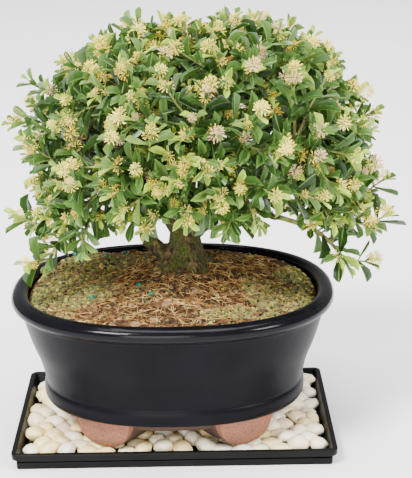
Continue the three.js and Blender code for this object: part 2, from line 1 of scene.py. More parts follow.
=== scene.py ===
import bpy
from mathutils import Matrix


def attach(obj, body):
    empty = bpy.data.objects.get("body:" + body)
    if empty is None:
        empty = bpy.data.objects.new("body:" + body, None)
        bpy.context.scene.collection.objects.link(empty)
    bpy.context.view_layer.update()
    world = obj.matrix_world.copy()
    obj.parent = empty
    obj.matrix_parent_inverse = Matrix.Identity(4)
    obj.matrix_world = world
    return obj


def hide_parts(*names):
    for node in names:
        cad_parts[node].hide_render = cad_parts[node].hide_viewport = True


bl_info = {
    "name": "Boxwood Bonsai",
    "version": (1, 0, 0),
    "blender": (4, 5, 0),
    "location": "View3D > Sidebar > Bonsai",
    "description": "Builds a small flowering boxwood tree in its glazed pot on a tray of pebbles",
    "category": "Add Mesh",
}

import math
import random

import bmesh
import bpy
from mathutils import Matrix, Vector, noise

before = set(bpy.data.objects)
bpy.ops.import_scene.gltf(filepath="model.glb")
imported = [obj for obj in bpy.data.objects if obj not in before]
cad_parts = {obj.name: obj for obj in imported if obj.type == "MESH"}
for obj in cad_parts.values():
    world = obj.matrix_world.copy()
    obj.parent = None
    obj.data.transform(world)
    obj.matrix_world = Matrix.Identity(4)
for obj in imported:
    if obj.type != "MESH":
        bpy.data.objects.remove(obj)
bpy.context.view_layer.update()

MM = 0.001  # every size below is in millimetres, and a finished piece is scaled by this
GOLDEN_TURN = math.pi * (3 - math.sqrt(5))
UP = Vector((0, 0, 1))
MERGE_DISTANCE, TRAY_MERGE_DISTANCE, SLIVER = 1e-4, 1e-3, 0.01
COPIES_PER_BATCH = 120
MIX_FIRST, MIX_SECOND, MIX_RESULT = 6, 7, 2  # the colour sockets of a Mix node

# Tray: inset from the rim's edge, and height
TRAY_HALF_LENGTH, TRAY_HALF_DEPTH, TRAY_CORNER, TRAY_FLOOR = 100.6, 67.8, 5, 2
TRAY_CORNER_STEPS, TRAY_SHARP_EDGE, TRAY_EDGE_ROUNDING = 9, 0.6, 0.3
TRAY_PROFILE = [
    (3.2, 0), (3, 4.4), (4.2, 4.5), (4.2, 6.7), (0.3, 6.8), (0, 10.6), (0.4, 11), (3, 11), (3.4, 10.5), (7, TRAY_FLOOR),
]

# Pebbles: the least and the most of their half-length, half-width and half-height
PEBBLE_RADII = [(5.8, 8.2), (5, 6.6), (3.7, 4.7)]
PEBBLE_JITTER, PEBBLE_LIFT, PEBBLE_TIP, PEBBLE_SUNK_RADIUS, PEBBLE_FLOOR_GAP = 1.9, 1.8, 0.35, 2.9, 0.4
PEBBLE_WALL_GAP, PEBBLE_PAST_WALL, PEBBLE_FOOT_ROOM, PEBBLE_KINDS, PEBBLE_LUMPINESS = 5.5, 3, 24, 6, 0.35
PINK_LEFT_OF, PINK_CHANCE = -60, 0.25

# Pot: half-length and height, from the foot ring up the glazed wall, over the rim and down inside
POT_DEPTH_LOSS, POT_FULL_LOSS_FROM, POT_SQUARENESS = 13.8, 60, 2.29
POT_UNDERSIDE, POT_FLOOR, POT_STEPS = 20, 27, 144
FOOT_RING = [(69, POT_UNDERSIDE), (70, 21), (71.4, 25.4), (77.2, 26.8)]
GLAZED_WALL = [
    (78.2, 27.1), (80.8, 27.6), (82.8, 29), (83.7, 31.6), (83.7, 35.4), (83.1, 37.6), (82.5, 39), (82.9, 41.5),
    (86, 54), (91, 67), (96.2, 85),
    (97.4, 87.6), (99.6, 89), (101.8, 91), (102.5, 93.4), (101.6, 96), (98.9, 98), (96.4, 98.5), (94.3, 98.1),
    (92.6, 96.6), (91.9, 94.6), (91.6, 92), (86, 70), (77, 40), (66, POT_FLOOR),
]
FOOT_ANGLE, FOOT_HALF_WIDTH, FOOT_HEIGHT, FOOT_STANDS_AT, FOOT_TOP = 49, 18.5, 19.2, 8.5, 26.5
FOOT_OUTER, FOOT_INNER, FOOT_DRAFT, FOOT_EDGE_ROUNDING = 77.2, 56, 2.6, 1.6
FEET = [math.radians(angle) for angle in (FOOT_ANGLE, 180 - FOOT_ANGLE, 180 + FOOT_ANGLE, 360 - FOOT_ANGLE)]
# Painted shade: faces under the pot that lie inside this oval (the recessed ring, the underside and the feet's inner
# faces) get a dark clay colour
UNDERSIDE_SHADE_OVAL, UNDERSIDE_SHADE_FROM, UNDERSIDE_SHADE_FADE = 77, 0.955, 0.03
DRAIN_HOLE_X, DRAIN_HOLE_RADIUS = (-38, 38), 6

# Soil: a low mound round the trunk, with patches of moss as middle, half-length and half-depth
SOIL_WALL = [(0, 27.5), (65.6, 27.5), (76.6, 40), (85.6, 70)]
SOIL_RINGS, SOIL_RING_CLOSING, SOIL_STEPS = 60, 1.15, 180
SOIL_EDGE, SOIL_REACH, SOIL_MOUND, SOIL_SPREAD, SOIL_HEAP, HEAP_SPREAD = 92, 91.1, 11.6, 88, 6, 38
SOIL_BACK_RISE, MOSS_BANK_RISE, MOSS_BANK = 3, 3.5, (-66, 48, 32, 26)
MOSS_PATCHES = [(-52, 44, 38, 24), (-66, 0, 30, 40), (66, -18, 26, 24), (80, 12, 14, 28), (42, -48, 26, 9)]
LITTER_REACH, LITTER_CLEARANCE, ROOT_REACH, ROOT_CLEARANCE = 86, 15, 88, 14
CHIP_SIZES, CLOD_SIZES, CLOD_CHANCE, CHIP_KINDS, CLOD_KINDS = (1.1, 3), (1.6, 3.6), 0.07, 5, 4
ROOT_RADII, ROOT_STEPS, ROOT_STEP_LENGTHS, ROOTS_OFF_MOSS_CHANCE = (0.1, 0.24), (5, 13), (2.2, 3.6), 0.72
MOSS_SIZES, MOSS_TRIES, MOSS_EDGE, MOSS_STRAY_CHANCE, MOSS_WALL_GAP = (0.6, 1.4), 9000, 0.05, 0.06, 1.5
PELLET_RADIUS, PELLET_RISE = 1.95, 1.3
PELLET_SPOTS = [(-66, 58), (-33, 61), (-44.5, 50), (-50.5, -20), (-21.3, -10), (-13.2, -24)]

# Trunk: reach and height. Surface roots: distance from the trunk's middle, height over the soil, and radius
TRUNK_X, TRUNK_Y, TRUNK_GROUND, TRUNK_LEAN, TRUNK_LOBE, TRUNK_LOBES = 6.6, 18, 104, 0.06, 0.13, 5
TRUNK_PROFILE = [(14, 90), (17, 105), (15, 110), (11.8, 116), (9.9, 124), (8.6, 134)]
TRUNK_STEPS, TRUNK_BASE, TRUNK_TOP = 60, 90, 136
ROOT_FLARE = [(7, 5, 4.6), (13, 1.4, 3.6), (20, -0.4, 2.4), (29, -2.2, 1.2)]
FLARE_ROOTS, FLARE_TURN = 6, 0.35

# The tree: fork, limbs and the boxy dome of the crown
FORK = Vector((8.4, 18, 130))
SIDE_STEM_RADIUS, SIDE_STEM_TAPER = 5.5, 0.45
LIMB_RADII, TWIG_RADII, HANGING_RADII, HANGING_RUN_IN = (5.4, 4.2, 3.0), (2.9, 2.2, 1.4), (2.6, 2.2, 1.9), 8
KINK, KINK_LENGTH, SWELLING, SWELLING_LENGTH, NOISE_SEED = 0.9, 7, 0.16, 4, 5
SIDE_STEM = [(1, 18, 107), (-10, 18, 116), (-17.5, 18, 126), (-14.5, 18, 138), (-12, 18, 152)]
CROWN_MIDDLE = Vector((19, 18, 165))
CROWN_LENGTH, CROWN_DEPTH, CROWN_HEIGHT, CROWN_BELOW, CROWN_BOXINESS = 116, 97, 112, 64, 2.5
CLEARING_HALF_WIDTH, CLEARING_BOTTOM = 34, 178
LIMB_COUNT, LIMB_REACH, LIMB_DROP, LIMB_RISE, LIMB_SAG, LIMB_STAGGER = 6, 32, 7, 23, 5, 7
MASS_COUNT, MASS_LOWEST, MASS_TURN, MASS_INWARD, TWIG_END = 22, -0.27, 0.5, 37, 27
CLIPPED_LENGTH, CLIPPED_HEIGHT, CLIPPED_BOXINESS = 120, 107, 3.2
CROWN_UNDERSIDE, CROWN_UNDERSIDE_RISE = 136, 14

# Shoots: how many of them stray, and how far out of the dome, with more at the left
SHORTEST_SHOOT, LONGEST_SHOOT, LONGEST_SIDE_SHOOT, LEAF_TIP = 17, 48, 28, 12
STRAY_CHANCE, STRAY_REACH, STRAGGLY_CHANCE, STRAGGLY_REACH, STRAGGLY_LEFT_OF = 0.09, 1.03, 0.24, 1.09, -45
BARE_SHARE, BARE_STRAY_SHARE, TOP_FLOWERS, SIDE_FLOWERS, TOP_RISE = 0.28, 0.5, 0.95, 0.6, 10
SHOOT_RADIUS, SHOOT_TAPER, STEM_RADIUS, STEM_TAPER, SIDE_SHOOT_RADIUS, SIDE_SHOOT_TAPER = 0.95, 0.5, 1.7, 1, 0.8, 0.4

# Leaves and tufts. A leaf's outline is its width at each share of its length
LEAF_OUTLINE = [(0, 0.14), (0.32, 0.5), (0.62, 0.95), (0.86, 0.98), (1, 0.58)]
LEAF_KINDS = ((0.35, 0.08), (0.6, 0.18), (0.2, -0.06))  # cup and droop
LEAF_THICKNESS, LEAF_TIP_ROUNDING = 0.02, 0.06
MISSING_LEAF_CHANCE, NEW_LEAF_CHANCE, SPENT_LEAF_CHANCE, SPENT_LEAF_SIZE = 0.06, 0.4, 0.008, 0.65
STAMENS_PER_FLORET, FLORET_KINDS, FLORETS_PER_TUFT, STAMEN_LENGTHS, STAMEN_END_RADIUS = 16, 3, 3, (0.65, 0.9), 0.075
TUFT_CHANCES = (0.45, 1, 0.35, 0.45)  # at a shoot's last pair of leaves and at the ones before it
HANGING = {
    "spray_left_high": [(-40, 10, 149), (-62, 4, 146), (-80, 0, 140), (-89, -3, 135)],
    "spray_left_low": [(-38, 0, 145), (-58, -10, 140), (-72, -18, 128), (-80, -22, 113)],
    "spray_right_high": [(72, 14, 152), (94, 8, 156), (115, 4, 155), (128, 2, 151)],
    "spray_right_middle": [(74, 0, 146), (97, -6, 144), (117, -10, 139), (130, -10, 133)],
    "spray_right_low": [(68, -6, 142), (89, -14, 136), (104, -20, 123), (112, -22, 109)],
    "spray_front_left": [(-12, -18, 147), (-22, -38, 152), (-30, -56, 154)],
    "spray_front_right": [(30, -18, 147), (42, -36, 152), (50, -54, 153)],
    "spray_back": [(6, 60, 145), (2, 78, 141), (-2, 92, 132)],
}

# Stage: softboxes as place and size in metres, and watts; the camera as fitted to the photo
SOFTBOXES = {
    "key_softbox": ((-1.6, -1.9, 3.1), 1.2, 345),
    "fill_softbox": ((2.8, -1.9, 2.2), 1.2, 165),
    "low_softbox": ((-0.5, -3.2, 0.85), 1.6, 85),
    "top_softbox": ((0.2, 0.5, 3.4), 2.4, 190),
}
LIT_PLACE, WORLD_STRENGTH, FLOOR_HALF_SIZE = Vector((0, 0, 0.12)), 0.52, 12
CAMERA_PLACE, CAMERA_PITCH, CAMERA_YAW, CAMERA_ROLL = Vector((12.15, -911.01, 408.96)), 17.21, 0.59, -0.69
IMAGE_HEIGHT, FOCAL_PIXELS = 478, 1507.24


# Sizes and colours that a user would change

def size_property(name, description, default):
    return bpy.props.FloatProperty(name=name, description=description, default=default * MM, unit="LENGTH")


def count_property(name, description, default, least):
    return bpy.props.IntProperty(name=name, description=description, default=default, min=least)


def colour_property(name, description, default):
    return bpy.props.FloatVectorProperty(
        name=name, description=description, default=linear(default), size=4, min=0, max=1, subtype="COLOR"
    )


def linear(hex_colour):
    """An sRGB hex colour as linear red, green, blue and alpha."""
    parts = [int(hex_colour[i : i + 2], 16) / 255 for i in (1, 3, 5)]
    return (*[p / 12.92 if p <= 0.04045 else ((p + 0.055) / 1.055) ** 2.4 for p in parts], 1)


class TreeSizes(bpy.types.PropertyGroup):
    leaf_length: size_property("Leaf length", "Length of a full-grown leaf", 17)
    leaf_width: size_property("Leaf width", "Width of a full-grown leaf", 5.3)
    tuft_radius: size_property("Flower tuft radius", "How far a flower tuft's stamens reach", 6)
    leaf_spacing: size_property("Leaf spacing", "Distance between pairs of leaves along a shoot", 4)
    shoots_per_mass: count_property("Shoots per mass", "Leafy shoots in each mass of the crown", 17, 3)
    pebble_spacing: size_property("Pebble spacing", "Distance between pebbles in the tray", 12)
    root_count: count_property("Surface roots", "Fine dry roots lying on the soil", 760, 0)
    chip_count: count_property("Bark chips", "Chips of bark and grit lying on the soil", 1900, 0)


class TreeColours(bpy.types.PropertyGroup):
    old_leaf: colour_property("Old leaf", "Colour of the shaded older leaves", "#1f3614")
    leaf: colour_property("Leaf", "Colour of a full-grown leaf", "#4a6c30")
    young_leaf: colour_property("Young leaf", "Colour of the new leaves at the tips", "#b2c83e")
    stamen: colour_property("Stamen", "Colour of the flower tufts", "#fbe352")
    bark: colour_property("Bark", "Colour of the trunk's bark", "#43341c")
    glaze: colour_property("Glaze", "Colour of the pot's glaze", "#09080c")
    clay: colour_property("Clay", "Colour of the pot's bare feet", "#84543f")
    soil: colour_property("Soil", "Colour of the soil", "#332210")
    tray: colour_property("Tray", "Colour of the tray's plastic", "#080707")
    pebble: colour_property("Pebble", "Colour of the palest pebbles", "#fff6e2")


# Mesh helpers

def new_piece(name, mesh_data, materials, nodes=(), sharp=0.7):
    """Scales a finished mesh to metres, shades it and places it in the scene as a piece of the object."""
    bmesh.ops.scale(mesh_data, vec=(MM, MM, MM), verts=mesh_data.verts)
    for face in mesh_data.faces:
        face.smooth = True
    for edge in mesh_data.edges:
        edge.smooth = edge.is_manifold and edge.calc_face_angle(0) < sharp
    mesh = bpy.data.meshes.new(name)
    mesh_data.to_mesh(mesh)
    mesh_data.free()
    for material in materials:
        mesh.materials.append(material)
    piece = bpy.data.objects.new(name, mesh)
    bpy.context.scene.collection.objects.link(piece)
    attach(piece, "root")
    if nodes:
        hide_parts(*nodes)
    return piece


def merge(mesh_data, distance):
    bmesh.ops.remove_doubles(mesh_data, verts=mesh_data.verts, dist=distance)


def face_outward(mesh_data):
    bmesh.ops.recalc_face_normals(mesh_data, faces=mesh_data.faces)


def template(mesh_data, name):
    """Keeps a small mesh to be copied many times."""
    mesh = bpy.data.meshes.new(name)
    mesh_data.to_mesh(mesh)
    mesh_data.free()
    return mesh


def joined(copies):
    """One mesh of copied templates, given as (template, matrix, tone, material). Small batches keep it quick."""
    made = toned_mesh()
    for first in range(0, len(copies), COPIES_PER_BATCH):
        batch = toned_mesh()
        for copy in copies[first : first + COPIES_PER_BATCH]:
            add_copy(batch, *copy)
        made.from_mesh(template(batch, "batch"))
    return made


def add_copy(mesh_data, mesh, matrix, tone, material):
    """Adds a copy of a template to a mesh, with its own tone for the colour."""
    first_vert, first_face = len(mesh_data.verts), len(mesh_data.faces)
    mesh_data.from_mesh(mesh)
    mesh_data.verts.ensure_lookup_table()
    mesh_data.faces.ensure_lookup_table()
    bmesh.ops.transform(mesh_data, matrix=matrix, verts=mesh_data.verts[first_vert:])
    layer = mesh_data.faces.layers.float["tone"]
    for face in mesh_data.faces[first_face:]:
        face[layer] = tone
        face.material_index = material


def toned_mesh():
    """An empty mesh whose copies carry a tone and a UV map."""
    made = mapped_mesh()
    made.faces.layers.float.new("tone")
    return made


def mapped_mesh():
    """An empty mesh with a UV map."""
    made = bmesh.new()
    made.loops.layers.uv.new("UVMap")
    return made


def spun(profile, steps, place):
    """Spins a profile of (reach, height) rows round Z and moves each corner to place(angle, reach, height)."""
    made = bmesh.new()
    verts = [made.verts.new((reach, 0, height)) for reach, height in profile]
    edges = [made.edges.new(pair) for pair in zip(verts, verts[1:])]
    bmesh.ops.spin(
        made, geom=verts + edges, axis=UP, cent=(0, 0, 0), angle=2 * math.pi, steps=steps, use_merge=True
    )
    merge(made, MERGE_DISTANCE)
    for vert in made.verts:
        reach = math.hypot(vert.co.x, vert.co.y)
        vert.co = place(math.atan2(vert.co.y, vert.co.x) % (2 * math.pi), reach, vert.co.z)
    face_outward(made)
    return made


def rounded(points, per_gap):
    """Points on a smooth line through the given ones (Catmull-Rom)."""
    line = [Vector(p) for p in points]
    ends = [line[0], *line, line[-1]]
    made = []
    for before, start, end, after in zip(ends, ends[1:], ends[2:], ends[3:]):
        for i in range(per_gap):
            t = i / per_gap
            made.append(
                0.5 * (
                    2 * start + (end - before) * t
                    + (2 * before - 5 * start + 4 * end - after) * t * t
                    + (3 * start - before - 3 * end + after) * t ** 3
                )
            )
    return [*made, line[-1]]


def tubes(paths, sides=1):
    """One mesh of round tubes: each path is a list of (point, radius)."""
    curve = bpy.data.curves.new("tubes", "CURVE")
    curve.dimensions = "3D"
    curve.bevel_depth = 1
    curve.bevel_resolution = sides
    curve.use_fill_caps = True
    for path in paths:
        spline = curve.splines.new("POLY")
        spline.points.add(len(path) - 1)
        for point, (place, radius) in zip(spline.points, path):
            point.co = (*place, 1)
            point.radius = radius
    holder = bpy.data.objects.new("tubes", curve)
    bpy.context.scene.collection.objects.link(holder)
    mesh = evaluated_mesh(holder)
    bpy.data.objects.remove(holder)
    bpy.data.curves.remove(curve)
    return mesh


def evaluated_mesh(holder):
    """The mesh that an object's curve or modifiers make."""
    return bpy.data.meshes.new_from_object(holder.evaluated_get(bpy.context.evaluated_depsgraph_get()))


def tilted(axis, angle, turn):
    """A direction at an angle from an axis, turned round it."""
    side = axis.cross(UP if abs(axis.z) < 0.9 else Vector((1, 0, 0))).normalized()
    return Matrix.Rotation(turn, 3, axis) @ (Matrix.Rotation(angle, 3, side) @ axis)


def facing(place, along, face, size):
    """A matrix that puts a template's +X along one direction and its +Z towards another, as far as it can."""
    side = face.cross(along).normalized()
    top = along.cross(side).normalized()
    turn = Matrix((along, side, top)).transposed().to_4x4()
    return Matrix.Translation(place) @ turn @ Matrix.Diagonal((*size, 1))


def laid(place, size, yaw, tip=0.0, tip_axis="Y"):
    """A matrix that scales a template, tips it, turns it round Z and puts it at a place."""
    turn = Matrix.Rotation(yaw, 4, "Z") @ Matrix.Rotation(tip, 4, tip_axis)
    return Matrix.Translation(place) @ turn @ Matrix.Diagonal((*size, 1))


def clamped(value, low=0, high=1):
    return min(high, max(low, value))


# The shapes that pieces share

def tray_place(angle, inset, height):
    """A corner of the tray's rounded rectangle, or its middle when the inset is past it."""
    if inset > TRAY_HALF_LENGTH:
        return Vector((0, 0, height))
    steps = 4 * TRAY_CORNER_STEPS
    step = round(angle / (2 * math.pi) * steps) % steps
    corner = step // TRAY_CORNER_STEPS
    turn = (corner + (step % TRAY_CORNER_STEPS) / (TRAY_CORNER_STEPS - 1)) * math.pi / 2
    radius = max(TRAY_CORNER - inset, 1)
    side_x = 1 if corner in (0, 3) else -1
    side_y = 1 if corner < 2 else -1
    return Vector((
        side_x * (TRAY_HALF_LENGTH - inset - radius) + radius * math.cos(turn),
        side_y * (TRAY_HALF_DEPTH - inset - radius) + radius * math.sin(turn),
        height,
    ))


def oval_place(angle, reach, height):
    """The pot's squarish oval, less deep than long by the same amount up the wall."""
    half_depth = reach - POT_DEPTH_LOSS * min(1, reach / POT_FULL_LOSS_FROM)
    bow = lambda value: math.copysign(abs(value) ** (2 / POT_SQUARENESS), value)
    return Vector((reach * bow(math.cos(angle)), half_depth * bow(math.sin(angle)), height))


def oval_share(x, y, reach):
    """How far out a place lies towards the oval of that reach: 1 on it."""
    half_depth = reach - POT_DEPTH_LOSS * min(1, reach / POT_FULL_LOSS_FROM)
    return (abs(x / reach) ** POT_SQUARENESS + abs(y / half_depth) ** POT_SQUARENESS) ** (1 / POT_SQUARENESS)


def oval_inside(x, y, patch):
    """How far a place lies inside an oval patch: 1 at its middle, 0 on its edge."""
    middle_x, middle_y, half_length, half_depth = patch
    return 1 - ((x - middle_x) / half_length) ** 2 - ((y - middle_y) / half_depth) ** 2


def soil_height(x, y):
    """The soil's surface: a rough mound with a heap at the trunk, a mossy bank and a rise at the back."""
    to_wall = min(1, oval_share(x, y, SOIL_REACH))
    to_trunk = math.hypot(x - TRUNK_X, y - TRUNK_Y)
    mound = SOIL_MOUND * max(0, 1 - to_trunk / SOIL_SPREAD) + SOIL_HEAP * max(0, 1 - to_trunk / HEAP_SPREAD) ** 1.4
    rough = 1.3 * noise.noise(Vector((x, y, 0)) / 14) + 0.7 * noise.noise(Vector((x, y, 9)) / 4)
    bank = MOSS_BANK_RISE * max(0, oval_inside(x, y, MOSS_BANK)) + SOIL_BACK_RISE * clamped((y - 10) / 50)
    return SOIL_EDGE + bank + (mound + rough) * (1 - to_wall ** 5)


def dome_share(place, length, height, boxiness):
    """How far out a place lies in a boxy dome round the crown's middle: 1 on its surface."""
    off = place - CROWN_MIDDLE
    half = (length, CROWN_DEPTH, CROWN_BELOW if off.z < 0 else height)
    return sum(abs(part / size) ** boxiness for part, size in zip(off, half)) ** (1 / boxiness)


def crown_share(place):
    """The dome that carries the masses, as in the solids."""
    return dome_share(place, CROWN_LENGTH, CROWN_HEIGHT, CROWN_BOXINESS)


def trimmed_share(place):
    """The dome that the shoots are clipped to: flatter on top, and boxier at the right than at the left."""
    boxiness = CLIPPED_BOXINESS if place.x > CROWN_MIDDLE.x else CROWN_BOXINESS
    return dome_share(place, CLIPPED_LENGTH, CLIPPED_HEIGHT, boxiness)


def limb_ends():
    """Ends of the ring of limbs and of the upright one."""
    turns = [i / LIMB_COUNT * 2 * math.pi for i in range(LIMB_COUNT)]
    ring = [Vector((LIMB_REACH * math.cos(turn), LIMB_REACH * math.sin(turn), -LIMB_DROP)) for turn in turns]
    return [CROWN_MIDDLE + off for off in (*ring, Vector((-4, 0, LIMB_RISE)))]


def nearest_limb_end(place):
    return min(limb_ends(), key=lambda end: (end - place).length)


def crown_masses():
    """Name, outward direction and middle of each leafy mass, spread evenly over the dome."""
    made = []
    for i in range(MASS_COUNT):
        rise = 1 - (1 - MASS_LOWEST) * (i + 0.5) / MASS_COUNT
        turn = i * GOLDEN_TURN + MASS_TURN
        flat = math.sqrt(1 - rise * rise)
        outward = Vector((flat * math.cos(turn), flat * math.sin(turn), rise))
        middle = CROWN_MIDDLE + outward * (1 / crown_share(CROWN_MIDDLE + outward) - MASS_INWARD)
        if middle.y < TRUNK_Y and abs(middle.x - TRUNK_X) < CLEARING_HALF_WIDTH:
            middle.z = max(middle.z, CLEARING_BOTTOM)
        made.append((f"spray_{i + 1:02d}", outward, middle))
    return made


# Material helpers

def new_material(name):
    """An empty material and its node tree."""
    material = bpy.data.materials.new(name)
    material.use_nodes = True
    material.node_tree.nodes.clear()
    return material, material.node_tree


def add_node(tree, kind, inputs=None, **settings):
    """Adds a node with its settings. An input is a value or another node's output."""
    node = tree.nodes.new(kind)
    for key, value in settings.items():
        setattr(node, key, value)
    for key, value in (inputs or {}).items():
        if isinstance(value, bpy.types.NodeSocket):
            tree.links.new(value, node.inputs[key])
        else:
            node.inputs[key].default_value = value
    return node


def ramp(tree, value, *stops):
    """Colours along a value, each as (position, hex colour or colour property)."""
    node = add_node(tree, "ShaderNodeValToRGB", {"Fac": value})
    elements = node.color_ramp.elements
    while len(elements) < len(stops):
        elements.new(1)
    for element, (position, colour) in zip(elements, stops):
        element.position = position
        element.color = linear(colour) if isinstance(colour, str) else tuple(colour)
    return node.outputs["Color"]


def blended(tree, share, first, second, kind="MULTIPLY"):
    """Two colours multiplied, or mixed, by a share."""
    inputs = {"Factor": share, MIX_FIRST: first, MIX_SECOND: second}
    return add_node(tree, "ShaderNodeMix", inputs, data_type="RGBA", blend_type=kind).outputs[MIX_RESULT]


def ranged(tree, value, start, end, low=0.0, high=1.0):
    """A value's way from start to end as the way from low to high."""
    inputs = {"Value": value, "From Min": start, "From Max": end, "To Min": low, "To Max": high}
    return add_node(tree, "ShaderNodeMapRange", inputs).outputs["Result"]


def coordinates(tree, kind="Object"):
    return add_node(tree, "ShaderNodeTexCoord").outputs[kind]


def attribute(tree, name):
    """A number that the mesh carries for each face, such as a copy's tone."""
    return add_node(tree, "ShaderNodeAttribute", attribute_name=name).outputs["Fac"]


def object_noise(tree, millimetres, detail=3.0, roughness=0.55, place=None):
    """Noise on Object coordinates, or a place made from them, with features about this many millimetres across."""
    inputs = {
        "Vector": place or coordinates(tree), "Scale": 1 / (millimetres * MM), "Detail": detail, "Roughness": roughness,
    }
    return add_node(tree, "ShaderNodeTexNoise", inputs).outputs["Fac"]


def raised(tree, height, millimetres):
    """A bump of this depth."""
    return add_node(tree, "ShaderNodeBump", {"Height": height, "Distance": millimetres * MM}).outputs["Normal"]


def finish_material(material, **inputs):
    """Ends a material in a Principled shader with these inputs, written with _ for a space."""
    tree = material.node_tree
    named = {key.replace("_", " "): value for key, value in inputs.items()}
    shader = add_node(tree, "ShaderNodeBsdfPrincipled", named)
    add_node(tree, "ShaderNodeOutputMaterial", {"Surface": shader.outputs["BSDF"]})
    return material


def colours():
    return bpy.context.scene.tree_colours


def sizes():
    return bpy.context.scene.tree_sizes


# Materials

def tray_plastic():
    """Vacuum-formed black polystyrene: an even, soft gloss with faint dust."""
    material, tree = new_material("vacuum_formed_polystyrene")
    dust = object_noise(tree, 18, 5)
    colour = ramp(tree, dust, (0.35, colours().tray), (0.8, "#100f0e"))
    rough = ranged(tree, dust, 0, 1, 0.28, 0.5)
    bump = raised(tree, object_noise(tree, 1.2), 0.04)
    return finish_material(
        material, Base_Color=colour, Roughness=rough, Normal=bump, IOR=1.49, Specular_IOR_Level=0.12
    )


def mesh_plastic():
    """Moulded polyethylene mesh: dull and slightly soiled."""
    material, tree = new_material("moulded_polyethylene_mesh")
    soiled = ramp(tree, object_noise(tree, 3), (0.4, "#232323"), (0.75, "#3a2e24"))
    return finish_material(material, Base_Color=soiled, Roughness=0.7, IOR=1.51)


def pot_glaze():
    """Fired dark blue-black stoneware glaze: glassy where it pools on the rim, satin on the wall, unevenly flowed."""
    material, tree = new_material("fired_stoneware_glaze")
    colour = ramp(tree, object_noise(tree, 26, 4), (0.3, colours().glaze), (0.75, "#0e0d13"))
    height = add_node(tree, "ShaderNodeSeparateXYZ", {"Vector": coordinates(tree)}).outputs["Z"]
    under_rim, on_rim = 88 * MM, 93 * MM
    rough = ranged(tree, height, under_rim, on_rim, 0.34, 0.13)
    gloss = ranged(tree, height, under_rim, on_rim, 0.08, 0.16)
    bump = raised(tree, object_noise(tree, 7, 2), 0.12)
    return finish_material(
        material, Base_Color=colour, Roughness=rough, Normal=bump, IOR=1.4, Specular_IOR_Level=gloss
    )


def pot_clay():
    """Bare fired stoneware clay: dry and sandy, with darker specks of iron, and painted shade that darkens the recessed
    ring and the inner faces under the pot.
    """
    material, tree = new_material("bare_stoneware_clay")
    specks = ramp(tree, object_noise(tree, 1.1, 2), (0.3, "#694636"), (0.42, colours().clay), (0.75, "#9b6951"))
    # Painted shade: dark brown #4a352b is mixed in where the faces under the pot are marked as shaded
    colour = blended(tree, attribute(tree, "underside_shade"), specks, linear("#4a352b"), "MIX")
    bump = raised(tree, object_noise(tree, 0.7, 4), 0.15)
    return finish_material(material, Base_Color=colour, Roughness=0.85, Normal=bump, IOR=1.5)


def pebble_stone():
    """River-tumbled quartz and marble: milky, smooth, cream to honey, with faint veins."""
    material, tree = new_material("tumbled_quartz_pebble")
    body = ramp(
        tree, attribute(tree, "tone"), (0.0, colours().pebble), (0.5, "#ffecc2"), (0.8, "#fde59c"),
        (0.93, "#f3d8a4"), (0.97, "#eccab6"), (1.0, "#e6beaa"),
    )
    veins = ramp(tree, object_noise(tree, 5, 6, 0.65), (0.33, "#ecdcb8"), (0.48, "#ffffff"), (0.8, "#fffcf4"))
    bump = raised(tree, object_noise(tree, 1.6, 4), 0.18)
    return finish_material(
        material, Base_Color=blended(tree, 0.55, body, veins), Roughness=0.42, Normal=bump, IOR=1.54,
        Subsurface_Weight=0.15, Subsurface_Radius=(0.004, 0.003, 0.002), Subsurface_Scale=1.0,
    )


def soil_earth():
    """Damp potting soil: dark crumbs with paler fibre dust."""
    material, tree = new_material("damp_potting_soil")
    crumbs = ramp(
        tree, object_noise(tree, 2.6, 6, 0.7),
        (0.32, "#1b1109"), (0.46, colours().soil), (0.6, "#5f4226"), (0.72, "#80613a"),
    )
    bump = raised(tree, object_noise(tree, 1.5, 6, 0.7), 0.9)
    return finish_material(material, Base_Color=crumbs, Roughness=0.95, Normal=bump, IOR=1.4)


def bark_chip():
    """Broken bark and grit: dry, matt, brown to grey by the piece."""
    material, tree = new_material("composted_bark_chip")
    body = ramp(
        tree, attribute(tree, "tone"),
        (0.0, "#24160c"), (0.3, "#4a301c"), (0.6, "#745233"), (0.85, "#96744c"), (1.0, "#b09472"),
    )
    grain = ramp(tree, object_noise(tree, 1.0, 4), (0.3, "#7a6a5c"), (0.7, "#ffffff"))
    bump = raised(tree, object_noise(tree, 0.8), 0.2)
    return finish_material(
        material, Base_Color=blended(tree, 0.8, body, grain), Roughness=0.9, Normal=bump, IOR=1.4
    )


def dry_root():
    """Fine dry feeder roots: pale straw brown, fibrous."""
    material, tree = new_material("dry_feeder_root")
    colour = ramp(tree, object_noise(tree, 5, 4), (0.36, "#6b3f1f"), (0.5, "#a87a3c"), (0.66, "#e6c882"))
    bump = raised(tree, object_noise(tree, 0.6), 0.1)
    return finish_material(material, Base_Color=colour, Roughness=0.8, Normal=bump, IOR=1.45)


def moss_green():
    """Cushion moss: soft olive green with brighter tips."""
    material, tree = new_material("cushion_moss")
    body = ramp(
        tree, attribute(tree, "tone"), (0.0, "#3a3c0c"), (0.5, "#6c6f1c"), (0.85, "#a39d2e"), (1.0, "#d4b84a")
    )
    tips = ramp(tree, object_noise(tree, 1.1, 4), (0.35, "#7c7c58"), (0.6, "#ffffff"))
    bump = raised(tree, object_noise(tree, 0.8, 4), 0.6)
    return finish_material(
        material, Base_Color=blended(tree, 0.85, body, tips), Roughness=0.9, Normal=bump, IOR=1.4, Sheen_Weight=0.3
    )


def feed_pellet():
    """Coated slow-release feed pellets: dull green resin."""
    material, tree = new_material("resin_coated_pellet")
    colour = ramp(tree, object_noise(tree, 1.5), (0.35, "#0f4a34"), (0.7, "#1f7a55"))
    return finish_material(material, Base_Color=colour, Roughness=0.45, IOR=1.5)


